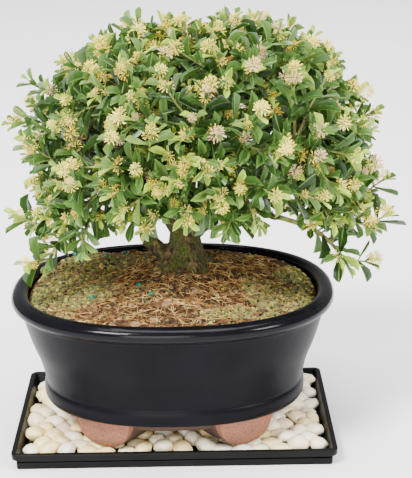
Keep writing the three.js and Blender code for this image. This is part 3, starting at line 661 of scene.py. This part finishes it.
def trunk_bark():
    """Old boxwood bark: fissured grey-brown along the grain, with green moss and algae in its hollows."""
    material, tree = new_material("fissured_mossy_bark")
    grain = add_node(tree, "ShaderNodeMapping", {"Vector": coordinates(tree), "Scale": (1, 1, 0.35)}).outputs["Vector"]
    ridges = object_noise(tree, 2.2, 6, 0.65, grain)
    bark = ramp(tree, ridges, (0.38, "#120d07"), (0.5, colours().bark), (0.64, "#806b3c"))
    moss = ramp(tree, object_noise(tree, 0.9, 4), (0.36, "#181c05"), (0.62, "#565f1b"))
    mossy = ranged(tree, object_noise(tree, 8, 5), 0.42, 0.58)
    colour = blended(tree, mossy, bark, moss, "MIX")
    return finish_material(material, Base_Color=colour, Roughness=0.88, Normal=raised(tree, ridges, 1.6), IOR=1.45)


def shoot_bark():
    """Young boxwood shoots: thin green-brown skin."""
    material, tree = new_material("green_shoot_skin")
    colour = ramp(tree, object_noise(tree, 7), (0.35, "#665632"), (0.52, "#7d8540"), (0.7, "#9aa858"))
    return finish_material(material, Base_Color=colour, Roughness=0.6, IOR=1.45)


def box_leaf():
    """Boxwood leaf: leathery and waxy, with a paler midrib; new ones yellow-green, old ones dark, spent ones brown."""
    material, tree = new_material("waxy_boxwood_leaf")
    body = ramp(
        tree, attribute(tree, "tone"), (0.0, colours().old_leaf), (0.4, colours().leaf), (0.66, "#708c44"),
        (0.9, colours().young_leaf), (0.965, "#b6cf58"), (1.0, "#b08a44"),
    )
    across = add_node(tree, "ShaderNodeSeparateXYZ", {"Vector": coordinates(tree, "UV")}).outputs["Y"]
    off_rib = add_node(tree, "ShaderNodeMath", {0: across, 1: 0.5}, operation="SUBTRACT").outputs[0]
    width = add_node(tree, "ShaderNodeMath", {0: off_rib}, operation="ABSOLUTE").outputs[0]
    rib = ranged(tree, width, 0.03, 0.12, 0.5, 0.0)
    ribbed = blended(tree, rib, body, linear("#9dbb6c"), "MIX")
    mottle = ramp(tree, object_noise(tree, 4, 3), (0.3, "#cfd6c4"), (0.7, "#ffffff"))
    return finish_material(
        material, Base_Color=blended(tree, 0.6, ribbed, mottle), Roughness=0.36, Normal=raised(tree, width, 0.5),
        IOR=1.47, Subsurface_Weight=0.12, Subsurface_Radius=(0.0012, 0.002, 0.0006), Subsurface_Scale=1.0,
    )


def flower_stamen():
    """Boxwood stamens: soft, matt pale yellow threads that go cream and pinkish with age."""
    material, tree = new_material("pollen_dusted_stamen")
    body = ramp(
        tree, attribute(tree, "tone"), (0.0, "#fff586"), (0.5, colours().stamen), (0.75, "#e8d058"),
        (0.9, "#f6dcae"), (1.0, "#dfb48a"),
    )
    dusting = ramp(tree, object_noise(tree, 1.6), (0.3, "#e0cf80"), (0.55, "#ffffff"))
    return finish_material(
        material, Base_Color=blended(tree, 0.7, body, dusting), Roughness=0.75, IOR=1.4,
        Subsurface_Weight=0.2, Subsurface_Radius=(0.001, 0.001, 0.0006), Subsurface_Scale=1.0,
    )


def studio_floor():
    """Matt white paper sweep with a barely uneven tone."""
    material, tree = new_material("matt_paper_sweep")
    colour = ramp(tree, object_noise(tree, 400), (0.3, "#f4f4f3"), (0.7, "#fafafa"))
    return finish_material(material, Base_Color=colour, Roughness=0.9, IOR=1.45)


# Templates: small shapes that are copied many times

def leaf_template(cup, droop):
    """A spoon-shaped blade, 1 long, folded up along its rib and bent down towards its rounded tip."""
    made = mapped_mesh()
    bmesh.ops.create_grid(made, x_segments=4, y_segments=2, size=0.5, calc_uvs=True)
    for vert in made.verts:
        station = round((vert.co.x + 0.5) * 4)
        along, width = LEAF_OUTLINE[station]
        across, half = 2 * vert.co.y, 0.5 * width
        rounding = LEAF_TIP_ROUNDING if station == 4 and abs(across) > 0.1 else 0
        vert.co = (along - rounding, across * half, cup * abs(across) * half - droop * along ** 2)
    bmesh.ops.solidify(made, geom=made.faces, thickness=LEAF_THICKNESS)
    face_outward(made)
    return template(made, "leaf")


def floret_template(rng):
    """One flower of a tuft, 1 in reach: three-sided stamens that spread from a point and are thickest at the end."""
    made = mapped_mesh()
    for i in range(STAMENS_PER_FLORET):
        rise = 1 - 1.3 * (i + 0.5) / STAMENS_PER_FLORET
        turn = i * GOLDEN_TURN + rng.uniform(-0.25, 0.25)
        flat = math.sqrt(1 - rise * rise)
        way = Vector((flat * math.cos(turn), flat * math.sin(turn), rise))
        length = rng.uniform(*STAMEN_LENGTHS)
        matrix = Matrix.Translation(way * (0.1 + length / 2)) @ UP.rotation_difference(way).to_matrix().to_4x4()
        bmesh.ops.create_cone(
            made, cap_ends=True, segments=3, radius1=0, radius2=STAMEN_END_RADIUS, depth=length, matrix=matrix
        )
    merge(made, MERGE_DISTANCE)
    face_outward(made)
    return template(made, "floret")


def lump_template(rng, subdivisions, lumpiness):
    """A rounded, uneven lump of radius 1."""
    made = mapped_mesh()
    bmesh.ops.create_icosphere(made, subdivisions=subdivisions, radius=1)
    offset = Vector((rng.random(), rng.random(), rng.random())) * 50
    for vert in made.verts:
        vert.co *= 1 + lumpiness * noise.noise(vert.co * 1.3 + offset)
    return template(made, "lump")


def chip_template(rng):
    """A broken chip: a box with knocked corners."""
    made = mapped_mesh()
    bmesh.ops.create_cube(made, size=1)
    bmesh.ops.bevel(
        made, geom=made.edges, offset=0.12, offset_type="OFFSET", segments=1, profile=0.5, affect="EDGES", material=-1
    )
    for vert in made.verts:
        vert.co += Vector([rng.uniform(-0.12, 0.12) for _ in range(3)])
    return template(made, "chip")


# Operators: one for each piece or group of like pieces

class AddTray(bpy.types.Operator):
    """Adds the moulded plastic tray"""
    bl_idname = "bonsai.add_tray"
    bl_label = "Tray"

    def execute(self, context):
        closing, rim_reach = TRAY_HALF_LENGTH + 1, TRAY_HALF_LENGTH + 10
        rows = [(closing, 0), *TRAY_PROFILE, (closing, TRAY_FLOOR)]
        profile = [(rim_reach - inset, height) for inset, height in rows]
        place = lambda angle, reach, height: tray_place(angle, rim_reach - reach, height)
        made = spun(profile, 4 * TRAY_CORNER_STEPS, place)
        merge(made, TRAY_MERGE_DISTANCE)
        edges = [e for e in made.edges if e.is_manifold and e.calc_face_angle(0) > TRAY_SHARP_EDGE]
        bmesh.ops.bevel(
            made, geom=edges, offset=TRAY_EDGE_ROUNDING, offset_type="OFFSET", segments=2, profile=0.5,
            affect="EDGES", material=-1, clamp_overlap=True,
        )
        merge(made, SLIVER)
        face_outward(made)
        new_piece("tray_shell", made, [tray_plastic()], ["tray"])
        return {"FINISHED"}


class AddPebbles(bpy.types.Operator):
    """Adds the layer of pebbles in the tray"""
    bl_idname = "bonsai.add_pebbles"
    bl_label = "Pebbles"

    def execute(self, context):
        rng = random.Random(11)
        stones = [lump_template(rng, 2, PEBBLE_LUMPINESS) for _ in range(PEBBLE_KINDS)]
        copies = []
        pitch = sizes().pebble_spacing / MM
        row_step = pitch * math.sqrt(3) / 2
        rows, columns = int(TRAY_HALF_DEPTH / row_step) + 1, int(TRAY_HALF_LENGTH / pitch) + 1
        feet = [oval_place(angle, (FOOT_INNER + FOOT_OUTER) / 2, 0) for angle in FEET]
        for row in range(-rows, rows + 1):
            for column in range(-columns, columns + 1):
                x = (column + (row % 2) / 2) * pitch + rng.uniform(-PEBBLE_JITTER, PEBBLE_JITTER)
                y = row * row_step + rng.uniform(-PEBBLE_JITTER, PEBBLE_JITTER)
                radii = [rng.uniform(least, most) for least, most in PEBBLE_RADII]
                lift, yaw = rng.uniform(0, PEBBLE_LIFT), rng.uniform(0, math.pi)
                tip = rng.uniform(-PEBBLE_TIP, PEBBLE_TIP)
                tone, stone = 0.93 * rng.random() ** 1.2, rng.choice(stones)
                wall_x, wall_y = (half - PEBBLE_WALL_GAP - radii[1] for half in (TRAY_HALF_LENGTH, TRAY_HALF_DEPTH))
                if abs(x) > wall_x + PEBBLE_PAST_WALL or abs(y) > wall_y + PEBBLE_PAST_WALL:
                    continue
                x, y = clamped(x, -wall_x, wall_x), clamped(y, -wall_y, wall_y)
                if min((foot - Vector((x, y, 0))).length for foot in feet) < PEBBLE_FOOT_ROOM:
                    lift, tip, radii[2] = 0, 0, PEBBLE_SUNK_RADIUS
                if x < PINK_LEFT_OF and rng.random() < PINK_CHANCE:
                    tone = rng.uniform(0.9, 1)
                middle = Vector((x, y, TRAY_FLOOR + PEBBLE_FLOOR_GAP + radii[2] + lift))
                copies.append((stone, laid(middle, radii, yaw, tip), tone, 0))
        new_piece("pebble_stones", joined(copies), [pebble_stone()], ["pebbles"], sharp=2)
        return {"FINISHED"}


class AddPot(bpy.types.Operator):
    """Adds the glazed oval pot with its four bare clay feet"""
    bl_idname = "bonsai.add_pot"
    bl_label = "Pot"

    def execute(self, context):
        wall = [tuple(p) for p in rounded(GLAZED_WALL, 3)]
        profile = [(0, POT_UNDERSIDE), (40, POT_UNDERSIDE), *FOOT_RING, *wall, (0, POT_FLOOR)]
        made = self.drilled(spun(profile, POT_STEPS, oval_place))
        for face in made.faces:
            face.material_index = 0 if face.calc_center_median().z > POT_FLOOR - 0.1 else 1
        # A mask for painted shade: how far each face lies in under the pot, set once the feet are added
        underside_shade = made.faces.layers.float.new("underside_shade")
        for angle in FEET:
            self.add_foot(made, angle)
        for face in made.faces:
            middle = face.calc_center_median()
            face[underside_shade] = clamped((UNDERSIDE_SHADE_FROM - oval_share(middle.x, middle.y, UNDERSIDE_SHADE_OVAL)) / UNDERSIDE_SHADE_FADE)
        new_piece("pot_stoneware", made, [pot_glaze(), pot_clay()], ["pot"], sharp=0.9)
        return {"FINISHED"}

    def drilled(self, made):
        """The pot with a drain hole drilled at each end of its floor."""
        drills = bmesh.new()
        for x in DRAIN_HOLE_X:
            bmesh.ops.create_cone(
                drills, cap_ends=True, segments=32, radius1=DRAIN_HOLE_RADIUS, radius2=DRAIN_HOLE_RADIUS,
                depth=POT_FLOOR - POT_UNDERSIDE + 4,
                matrix=Matrix.Translation((x, 0, (POT_FLOOR + POT_UNDERSIDE) / 2)),
            )
        body = bpy.data.objects.new("body", template(made, "body"))
        drill = bpy.data.objects.new("drill", template(drills, "drill"))
        for holder in (body, drill):
            bpy.context.scene.collection.objects.link(holder)
        cut = body.modifiers.new("drain holes", "BOOLEAN")
        cut.operation, cut.solver, cut.object = "DIFFERENCE", "EXACT", drill
        drilled = bmesh.new()
        drilled.from_mesh(evaluated_mesh(body))
        for holder in (body, drill):
            bpy.data.objects.remove(holder)
        merge(drilled, SLIVER)
        return drilled

    def add_foot(self, made, angle):
        """A half-round lobe of the foot ring, rounded at its lower edge, with a flat to stand on."""
        foot = bmesh.new()
        bmesh.ops.create_cube(foot, size=2)
        bmesh.ops.subdivide_edges(foot, edges=foot.edges, cuts=11, use_grid_fill=True)
        axis = Vector((math.cos(angle), math.sin(angle), 0))
        tangent = Vector((-axis.y, axis.x, 0))
        for vert in foot.verts:
            side, outward, level = vert.co
            across = FOOT_HALF_WIDTH * math.sin(side * math.pi / 2)
            depth = FOOT_HEIGHT * math.sqrt(max(0.004, 1 - (across / FOOT_HALF_WIDTH) ** 2))
            low = max(FOOT_TOP - depth, FOOT_STANDS_AT)
            height = FOOT_TOP + (low - FOOT_TOP) * (1 - level) / 2
            down = (FOOT_TOP - height) / (FOOT_TOP - FOOT_STANDS_AT)
            edge = FOOT_EDGE_ROUNDING * max(0, down - 0.8) / 0.2 * max(0, abs(outward) - 0.6) / 0.4
            reach = FOOT_INNER + (FOOT_OUTER - FOOT_DRAFT * down - FOOT_INNER) * (outward + 1) / 2
            reach -= math.copysign(edge, outward)
            point = axis * reach + tangent * across
            distance = reach
            for _ in range(8):  # moves the point out along the axis until it lies on the oval of that reach
                distance *= 1 + (1 - oval_share(point.x, point.y, reach)) * 0.9
                point = axis * distance + tangent * across
            vert.co = (point.x, point.y, height)
        face_outward(foot)
        for face in foot.faces:
            face.material_index = 1
        made.from_mesh(template(foot, "foot"))


class FinishScreens(bpy.types.Operator):
    """Gives the drain screens their plastic"""
    bl_idname = "bonsai.finish_screens"
    bl_label = "Drain screens"

    def execute(self, context):
        plastic = mesh_plastic()
        for name in ("drain_screen_1", "drain_screen_2"):
            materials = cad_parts[name].data.materials
            materials.clear()
            materials.append(plastic)
        return {"FINISHED"}


class AddSoil(bpy.types.Operator):
    """Adds the mound of soil in the pot"""
    bl_idname = "bonsai.add_soil"
    bl_label = "Soil"

    def execute(self, context):
        surface = SOIL_EDGE + 0.5  # marks the corners that soil_height lifts or lowers
        shares = [1 - (i / SOIL_RINGS) ** SOIL_RING_CLOSING for i in range(SOIL_RINGS)]
        profile = [*SOIL_WALL, *[(SOIL_REACH * share, surface) for share in shares], (0, surface)]

        def place(angle, reach, height):
            point = oval_place(angle, reach, height)
            if height > SOIL_EDGE:
                point.z = soil_height(point.x, point.y)
            return point

        made = spun(profile, SOIL_STEPS, place)
        new_piece("soil_bed", made, [soil_earth()], ["soil"], sharp=3)
        return {"FINISHED"}


def soil_spot(rng, furthest=LITTER_REACH):
    """A random place on the soil, clear of the trunk."""
    while True:
        point = oval_place(rng.uniform(0, 2 * math.pi), furthest * math.sqrt(rng.random()), 0)
        if from_trunk(point) > LITTER_CLEARANCE:
            return Vector((point.x, point.y, soil_height(point.x, point.y)))


def from_trunk(place):
    return math.hypot(place.x - TRUNK_X, place.y - TRUNK_Y)


def moss_share(spot):
    """How mossy a place is: above 0 inside a patch, with a ragged edge."""
    inside = max(oval_inside(spot.x, spot.y, patch) for patch in MOSS_PATCHES)
    return inside + 0.9 * noise.noise(Vector((spot.x, spot.y, 3)) / 9)


class AddSoilLitter(bpy.types.Operator):
    """Adds the chips, dry roots, moss and feed pellets that lie on the soil"""
    bl_idname = "bonsai.add_soil_litter"
    bl_label = "Soil litter"

    def execute(self, context):
        self.add_chips(random.Random(21))
        self.add_roots(random.Random(22))
        self.add_moss(random.Random(23))
        self.add_pellets(random.Random(24))
        return {"FINISHED"}

    def add_chips(self, rng):
        chips = [chip_template(rng) for _ in range(CHIP_KINDS)]
        clods = [lump_template(rng, 2, 0.7) for _ in range(CLOD_KINDS)]
        copies = []
        for _ in range(sizes().chip_count):
            spot = soil_spot(rng)
            is_clod = rng.random() < CLOD_CHANCE
            size = rng.uniform(*(CLOD_SIZES if is_clod else CHIP_SIZES))
            shape = (size, size * rng.uniform(0.55, 0.85), size * rng.uniform(0.35, 0.6))
            spot.z += shape[2] * 0.25
            matrix = laid(spot, shape, rng.uniform(0, 6.3), rng.uniform(-0.4, 0.4), "X")
            tone = rng.uniform(0.4, 1) if is_clod else rng.random()
            copies.append((rng.choice(clods if is_clod else chips), matrix, tone, 0))
        new_piece("soil_chips", joined(copies), [bark_chip()], sharp=0.5)

    def add_roots(self, rng):
        paths = []
        for _ in range(sizes().root_count):
            spot = soil_spot(rng)
            if moss_share(spot) > 0.12 and rng.random() < ROOTS_OFF_MOSS_CHANCE:
                continue
            heading = rng.uniform(0, 2 * math.pi)
            thick = rng.uniform(*ROOT_RADII)
            steps = rng.randint(*ROOT_STEPS)
            path = []
            for step in range(steps):
                if oval_share(spot.x, spot.y, ROOT_REACH) > 1 or from_trunk(spot) < ROOT_CLEARANCE:
                    break
                lift = 0.6 + 1.6 * math.sin(math.pi * step / steps) * rng.random()
                path.append((Vector((spot.x, spot.y, soil_height(spot.x, spot.y) + lift)), thick))
                heading += rng.uniform(-0.5, 0.5)
                spot = spot + Vector((math.cos(heading), math.sin(heading), 0)) * rng.uniform(*ROOT_STEP_LENGTHS)
            if len(path) > 3:
                paths.append(path)
        made = bmesh.new()
        made.from_mesh(tubes(paths, sides=0))
        new_piece("soil_roots", made, [dry_root()], sharp=3)

    def add_moss(self, rng):
        """Small cushions, close together in the patches and out to the wall, with a few astray."""
        cushions = [lump_template(rng, 1, 0.6) for _ in range(5)]
        copies = []
        for _ in range(MOSS_TRIES):
            spot = soil_spot(rng, SOIL_REACH - MOSS_WALL_GAP)
            if moss_share(spot) < MOSS_EDGE and rng.random() > MOSS_STRAY_CHANCE:
                continue
            size = rng.uniform(*MOSS_SIZES)
            spot.z += 0.3 * size
            shape = (size * rng.uniform(0.9, 1.4), size, size * rng.uniform(0.8, 1.3))
            matrix = laid(spot, shape, rng.uniform(0, 6.3))
            tone = clamped(rng.gauss(0.55, 0.25))
            copies.append((rng.choice(cushions), matrix, tone, 0))
        new_piece("soil_moss", joined(copies), [moss_green()], sharp=3)

    def add_pellets(self, rng):
        pellet = lump_template(rng, 2, 0.06)
        middles = [Vector((x, y, soil_height(x, y) + PELLET_RISE)) for x, y in PELLET_SPOTS]
        copies = [(pellet, laid(middle, 3 * [PELLET_RADIUS], 0), 0, 0) for middle in middles]
        new_piece("feed_pellets", joined(copies), [feed_pellet()], sharp=3)


class AddTrunk(bpy.types.Operator):
    """Adds the trunk with its root flare, side stem, limbs and branches"""
    bl_idname = "bonsai.add_trunk"
    bl_label = "Trunk"

    def execute(self, context):
        rows = [tuple(p) for p in rounded(TRUNK_PROFILE, 5)]

        def place(angle, reach, height):
            lean = TRUNK_X + (height - TRUNK_GROUND) * TRUNK_LEAN
            fade = clamped((FORK.z - height) / (FORK.z - TRUNK_GROUND), 0.25)
            ridge = TRUNK_LOBE * fade * math.cos(TRUNK_LOBES * angle + 0.05 * height)
            around = Vector((math.cos(angle), math.sin(angle), 0))
            knobs = 0.13 * noise.noise(around * 2 + UP * height / 9) + 0.07 * noise.noise(around * 5 + UP * height / 5)
            reach *= 1 + ridge + knobs
            return Vector((lean + reach * math.cos(angle), TRUNK_Y + reach * math.sin(angle), height))

        made = spun([(0, TRUNK_BASE), *rows, (0, TRUNK_TOP)], TRUNK_STEPS, place)
        limbs = [[(Vector(p), SIDE_STEM_RADIUS - SIDE_STEM_TAPER * i) for i, p in enumerate(SIDE_STEM)]]
        for i in range(FLARE_ROOTS):
            way = Matrix.Rotation(i * math.pi / (FLARE_ROOTS / 2) + FLARE_TURN, 3, "Z") @ Vector((1, 0, 0))
            spots = [Vector((TRUNK_X, TRUNK_Y, 0)) + way * distance for distance, _, _ in ROOT_FLARE]
            limbs.append([
                (Vector((spot.x, spot.y, soil_height(spot.x, spot.y) + lift)), radius)
                for spot, (_, lift, radius) in zip(spots, ROOT_FLARE)
            ])
        for i, end in enumerate(limb_ends()):
            root = FORK - UP * (LIMB_STAGGER if i % 2 else 0)
            bend = root.lerp(end, 0.5) - UP * LIMB_SAG
            limbs.append(zip((root, bend, end), LIMB_RADII))
        for _, _, middle in crown_masses():
            end = nearest_limb_end(middle)
            limbs.append(zip((end, middle + (end - middle).normalized() * TWIG_END, middle), TWIG_RADII))
        for path in HANGING.values():
            first, second = Vector(path[0]), Vector(path[1])
            in_line = first + (first - second).normalized() * HANGING_RUN_IN
            limbs.append(zip((nearest_limb_end(first), in_line, first), HANGING_RADII))
        made.from_mesh(tubes([self.wavy(path) for path in limbs], sides=3))
        new_piece("trunk_wood", made, [trunk_bark()], ["trunk"], sharp=3)
        return {"FINISHED"}

    def wavy(self, path):
        """A smooth path through the same points, with slight kinks and swellings."""
        noise.seed_set(NOISE_SEED)  # without a seed, noise_vector differs from run to run
        points = rounded([(*place, radius) for place, radius in path], 6)
        made = []
        for i, (x, y, z, radius) in enumerate(tuple(p) for p in points):
            spot = Vector((x, y, z))
            kink = noise.noise_vector(spot / KINK_LENGTH) * KINK if 0 < i < len(points) - 1 else Vector()
            made.append((spot + kink, radius * (1 + SWELLING * noise.noise(spot / SWELLING_LENGTH))))
        return made


class AddSprays(bpy.types.Operator):
    """Adds the leafy, flowering sprays of the crown and the ones that hang out of it"""
    bl_idname = "bonsai.add_sprays"
    bl_label = "Leafy sprays"

    def execute(self, context):
        rng = random.Random(7)
        self.leaves = [leaf_template(cup, droop) for cup, droop in LEAF_KINDS]
        self.florets = [floret_template(rng) for _ in range(FLORET_KINDS)]
        self.finishes = [box_leaf(), shoot_bark(), flower_stamen()]
        for name, outward, middle in crown_masses():
            self.add_mass(rng, name, outward, middle)
        for name, path in HANGING.items():
            self.add_hanging(rng, name, [Vector(p) for p in path])
        return {"FINISHED"}

    def add_mass(self, rng, name, outward, middle):
        """Shoots that spread from the mass's middle and end near the surface of the dome."""
        copies, shoots = [], []
        count = sizes().shoots_per_mass
        for i in range(count):
            angle = math.acos(1 - 1.4 * (i + 0.5) / count)
            way = tilted(outward, angle, i * GOLDEN_TURN + rng.uniform(-0.3, 0.3) + middle.x)
            straggly = middle.x < STRAGGLY_LEFT_OF
            stray = rng.random() < (STRAGGLY_CHANCE if straggly else STRAY_CHANCE)
            stray_reach = STRAGGLY_REACH if straggly else STRAY_REACH
            reach = stray_reach if stray else rng.uniform(0.9, 1)
            longest = LONGEST_SHOOT if angle < 1.4 else LONGEST_SIDE_SHOOT
            length = SHORTEST_SHOOT
            while length < longest and trimmed_share(middle + way * (length + LEAF_TIP)) < reach:
                length += 1
            start = middle - outward * 6 + way * 3
            end = middle + way * length
            before_fork = end.y < FORK.y and abs(end.x) < CLEARING_HALF_WIDTH
            raised_here = before_fork or end.x > 0.8 * CLEARING_HALF_WIDTH
            end.z = max(end.z, CROWN_UNDERSIDE + (CROWN_UNDERSIDE_RISE if raised_here else 0))
            bend = start.lerp(end, 0.5) + UP * rng.uniform(-2, 3) + Vector((rng.uniform(-3, 3), rng.uniform(-3, 3), 0))
            path = rounded([start, bend, end], 4)
            shoots.append(self.tapered(path, SHOOT_RADIUS, SHOOT_TAPER, len(path) - 1))
            flowers = TOP_FLOWERS if end.z > CROWN_MIDDLE.z + TOP_RISE else SIDE_FLOWERS
            self.dress_shoot(rng, copies, path, outward, BARE_STRAY_SHARE if stray else BARE_SHARE, flowers)
        self.finish_spray(name, copies, shoots)

    def add_hanging(self, rng, name, path):
        """A long stem with side shoots, which carries more leaves and flowers towards its end."""
        copies = []
        line = rounded(path, 5)
        stems = [self.tapered(line, STEM_RADIUS, STEM_TAPER, len(line))]
        self.dress_shoot(rng, copies, line[: len(line) - 2], UP, 0.45, 0.5)
        for k in range(4, len(line) - 3, 2):
            heading = (line[k + 1] - line[k - 1]).normalized()
            side = tilted(heading, rng.uniform(0.7, 1.0), k * 2.1 + rng.uniform(-0.4, 0.4))
            side.z = max(side.z, 0.1 if k < 0.6 * len(line) else -0.25)
            end = line[k] + side * rng.uniform(11, 17) + UP * 3
            branch = rounded([line[k], line[k].lerp(end, 0.5) + UP, end], 3)
            stems.append(self.tapered(branch, SIDE_SHOOT_RADIUS, SIDE_SHOOT_TAPER, len(branch)))
            self.dress_shoot(rng, copies, branch, UP, 0.48, 0.95)
        self.finish_spray(name, copies, stems)

    def tapered(self, path, radius, taper, steps):
        """A stem along a path, whose radius falls by the taper over that many steps."""
        return [(point, radius - taper * k / steps) for k, point in enumerate(path)]

    def dress_shoot(self, rng, copies, path, outward, bare, flowers):
        """Pairs of leaves crosswise along a shoot past its bare share, with tufts near its end."""
        lengths = [0]
        for a, b in zip(path, path[1:]):
            lengths.append(lengths[-1] + (b - a).length)
        total = lengths[-1]
        spacing = sizes().leaf_spacing / MM
        count = max(2, int(total * (1 - bare) / spacing))
        full, wide = sizes().leaf_length / MM, sizes().leaf_width / MM
        for pair in range(count + 1):
            share = bare + (1 - bare) * pair / count
            spot, heading = self.along(path, lengths, share * total)
            age = 1 - share
            size = full * (0.6 + 0.5 * min(1, age * 2.2)) * rng.uniform(0.75, 1.1)
            if pair == count:
                size *= 0.8
            spread = 0.55 + 0.5 * min(1, age * 2) + rng.uniform(-0.15, 0.15)
            turn = pair * math.pi / 2 + rng.uniform(-0.3, 0.3)
            for side in (0, math.pi):
                if rng.random() < MISSING_LEAF_CHANCE:
                    continue
                way = tilted(heading, spread + rng.uniform(-0.12, 0.12), turn + side)
                light = (heading * 0.7 + outward * 0.3 + UP * 0.55).normalized()
                face = (light - way * light.dot(way)).normalized()
                face = Matrix.Rotation(rng.uniform(-0.35, 0.35), 3, way) @ face
                tone = clamped(0.12 + 0.54 * share ** 2.5 + rng.gauss(0, 0.17), high=0.94)
                if pair >= count - 1 and rng.random() < NEW_LEAF_CHANCE:
                    tone = rng.uniform(0.75, 0.93)
                length = size
                if share < 0.5 and rng.random() < SPENT_LEAF_CHANCE:
                    tone, length = 1, SPENT_LEAF_SIZE * size
                matrix = facing(spot, way, face, (length, wide * length / full, length))
                copies.append((rng.choice(self.leaves), matrix, tone, 0))
            chance = TUFT_CHANCES[count - pair] if count - pair < len(TUFT_CHANCES) else 0
            if rng.random() < flowers * chance:
                self.add_tuft(rng, copies, spot, heading, outward)

    def add_tuft(self, rng, copies, spot, heading, outward):
        """Florets side by side, which make one dense, uneven star."""
        radius = sizes().tuft_radius / MM * rng.uniform(0.6, 1.15)
        stray = Vector((rng.uniform(-1, 1), rng.uniform(-1, 1), rng.uniform(-0.6, 1)))
        way = (heading + outward * 0.6 + stray * 0.8).normalized()
        tone = rng.random() * 0.75 if rng.random() < 0.9 else rng.uniform(0.85, 1)
        for k in range(FLORETS_PER_TUFT):
            lean = tilted(way, 0.7, k * 2.1 + rng.uniform(-0.4, 0.4))
            matrix = (
                Matrix.Translation(spot + way * 3 + lean * radius * 0.3)
                @ UP.rotation_difference(lean).to_matrix().to_4x4()
                @ Matrix.Scale(radius * 0.75, 4)
            )
            copies.append((rng.choice(self.florets), matrix, clamped(tone + rng.uniform(-0.1, 0.1)), 2))

    def along(self, path, lengths, distance):
        """The place and heading at a distance along a path."""
        for k in range(len(path) - 1):
            if lengths[k + 1] >= distance or k == len(path) - 2:
                step = path[k + 1] - path[k]
                share = (distance - lengths[k]) / step.length
                return path[k] + step * share, step.normalized()

    def finish_spray(self, name, copies, stems):
        """Joins the leaves and tufts with their stems."""
        made = joined(copies)
        first = len(made.faces)
        made.from_mesh(tubes(stems))
        made.faces.ensure_lookup_table()
        for face in made.faces[first:]:
            face.material_index = 1
        new_piece(name + "_foliage", made, self.finishes, [name], sharp=1.0)


class AddStage(bpy.types.Operator):
    """Adds the floor, the lights and the camera"""
    bl_idname = "bonsai.add_stage"
    bl_label = "Stage"

    def execute(self, context):
        scene = context.scene
        made = bmesh.new()
        bmesh.ops.create_grid(made, x_segments=2, y_segments=2, size=FLOOR_HALF_SIZE)
        mesh = template(made, "floor")
        mesh.materials.append(studio_floor())
        floor = bpy.data.objects.new("floor", mesh)
        scene.collection.objects.link(floor)
        for name, (place, size, watts) in SOFTBOXES.items():
            self.add_light(name, place, size, watts)
        world = bpy.data.worlds.new("studio")
        scene.world = world
        world.use_nodes = True
        background = world.node_tree.nodes["Background"]
        background.inputs["Color"].default_value = linear("#ffffff")
        background.inputs["Strength"].default_value = WORLD_STRENGTH
        self.add_camera(scene)
        return {"FINISHED"}

    def add_light(self, name, place, size, watts):
        data = bpy.data.lights.new(name, "AREA")
        data.size = size
        data.energy = watts
        light = bpy.data.objects.new(name, data)
        light.location = place
        light.rotation_euler = (LIT_PLACE - Vector(place)).to_track_quat("-Z", "Y").to_euler()
        bpy.context.scene.collection.objects.link(light)

    def add_camera(self, scene):
        """The photograph's viewpoint: a long lens, a little above the rim, looking down on the soil."""
        pitch, yaw, roll = (math.radians(angle) for angle in (CAMERA_PITCH, CAMERA_YAW, CAMERA_ROLL))
        ahead = Vector((math.sin(yaw) * math.cos(pitch), math.cos(yaw) * math.cos(pitch), -math.sin(pitch)))
        level = ahead.cross(UP).normalized()
        lift = level.cross(ahead)
        right = level * math.cos(roll) + lift * math.sin(roll)
        top = -level * math.sin(roll) + lift * math.cos(roll)
        data = bpy.data.cameras.new("camera")
        data.sensor_width = 36
        data.lens = data.sensor_width * FOCAL_PIXELS / IMAGE_HEIGHT
        data.clip_start, data.clip_end = 0.05, 50
        camera = bpy.data.objects.new("camera", data)
        camera.matrix_world = (
            Matrix.Translation(CAMERA_PLACE * MM) @ Matrix((right, top, -ahead)).transposed().to_4x4()
        )
        scene.collection.objects.link(camera)
        scene.camera = camera


class BonsaiPanel(bpy.types.Panel):
    """Lists the tree's pieces, sizes and colours"""
    bl_idname = "VIEW3D_PT_bonsai"
    bl_label = "Boxwood bonsai"
    bl_space_type = "VIEW_3D"
    bl_region_type = "UI"
    bl_category = "Bonsai"

    def draw(self, context):
        for operator in OPERATORS:
            self.layout.operator(operator.bl_idname)
        for group in (context.scene.tree_sizes, context.scene.tree_colours):
            box = self.layout.box()
            for name in group.__annotations__:
                box.prop(group, name)


OPERATORS = (AddTray, AddPebbles, AddPot, FinishScreens, AddSoil, AddSoilLitter, AddTrunk, AddSprays, AddStage)
CLASSES = (TreeSizes, TreeColours, *OPERATORS, BonsaiPanel)


def register():
    for cls in CLASSES:
        bpy.utils.register_class(cls)
    bpy.types.Scene.tree_sizes = bpy.props.PointerProperty(type=TreeSizes)
    bpy.types.Scene.tree_colours = bpy.props.PointerProperty(type=TreeColours)


def unregister():
    del bpy.types.Scene.tree_sizes
    del bpy.types.Scene.tree_colours
    for cls in reversed(CLASSES):
        bpy.utils.unregister_class(cls)


def main():
    register()
    bpy.ops.bonsai.add_tray()
    bpy.ops.bonsai.add_pebbles()
    bpy.ops.bonsai.add_pot()
    bpy.ops.bonsai.finish_screens()
    bpy.ops.bonsai.add_soil()
    bpy.ops.bonsai.add_soil_litter()
    bpy.ops.bonsai.add_trunk()
    bpy.ops.bonsai.add_sprays()
    bpy.ops.bonsai.add_stage()


if __name__ == "__main__":
    main()
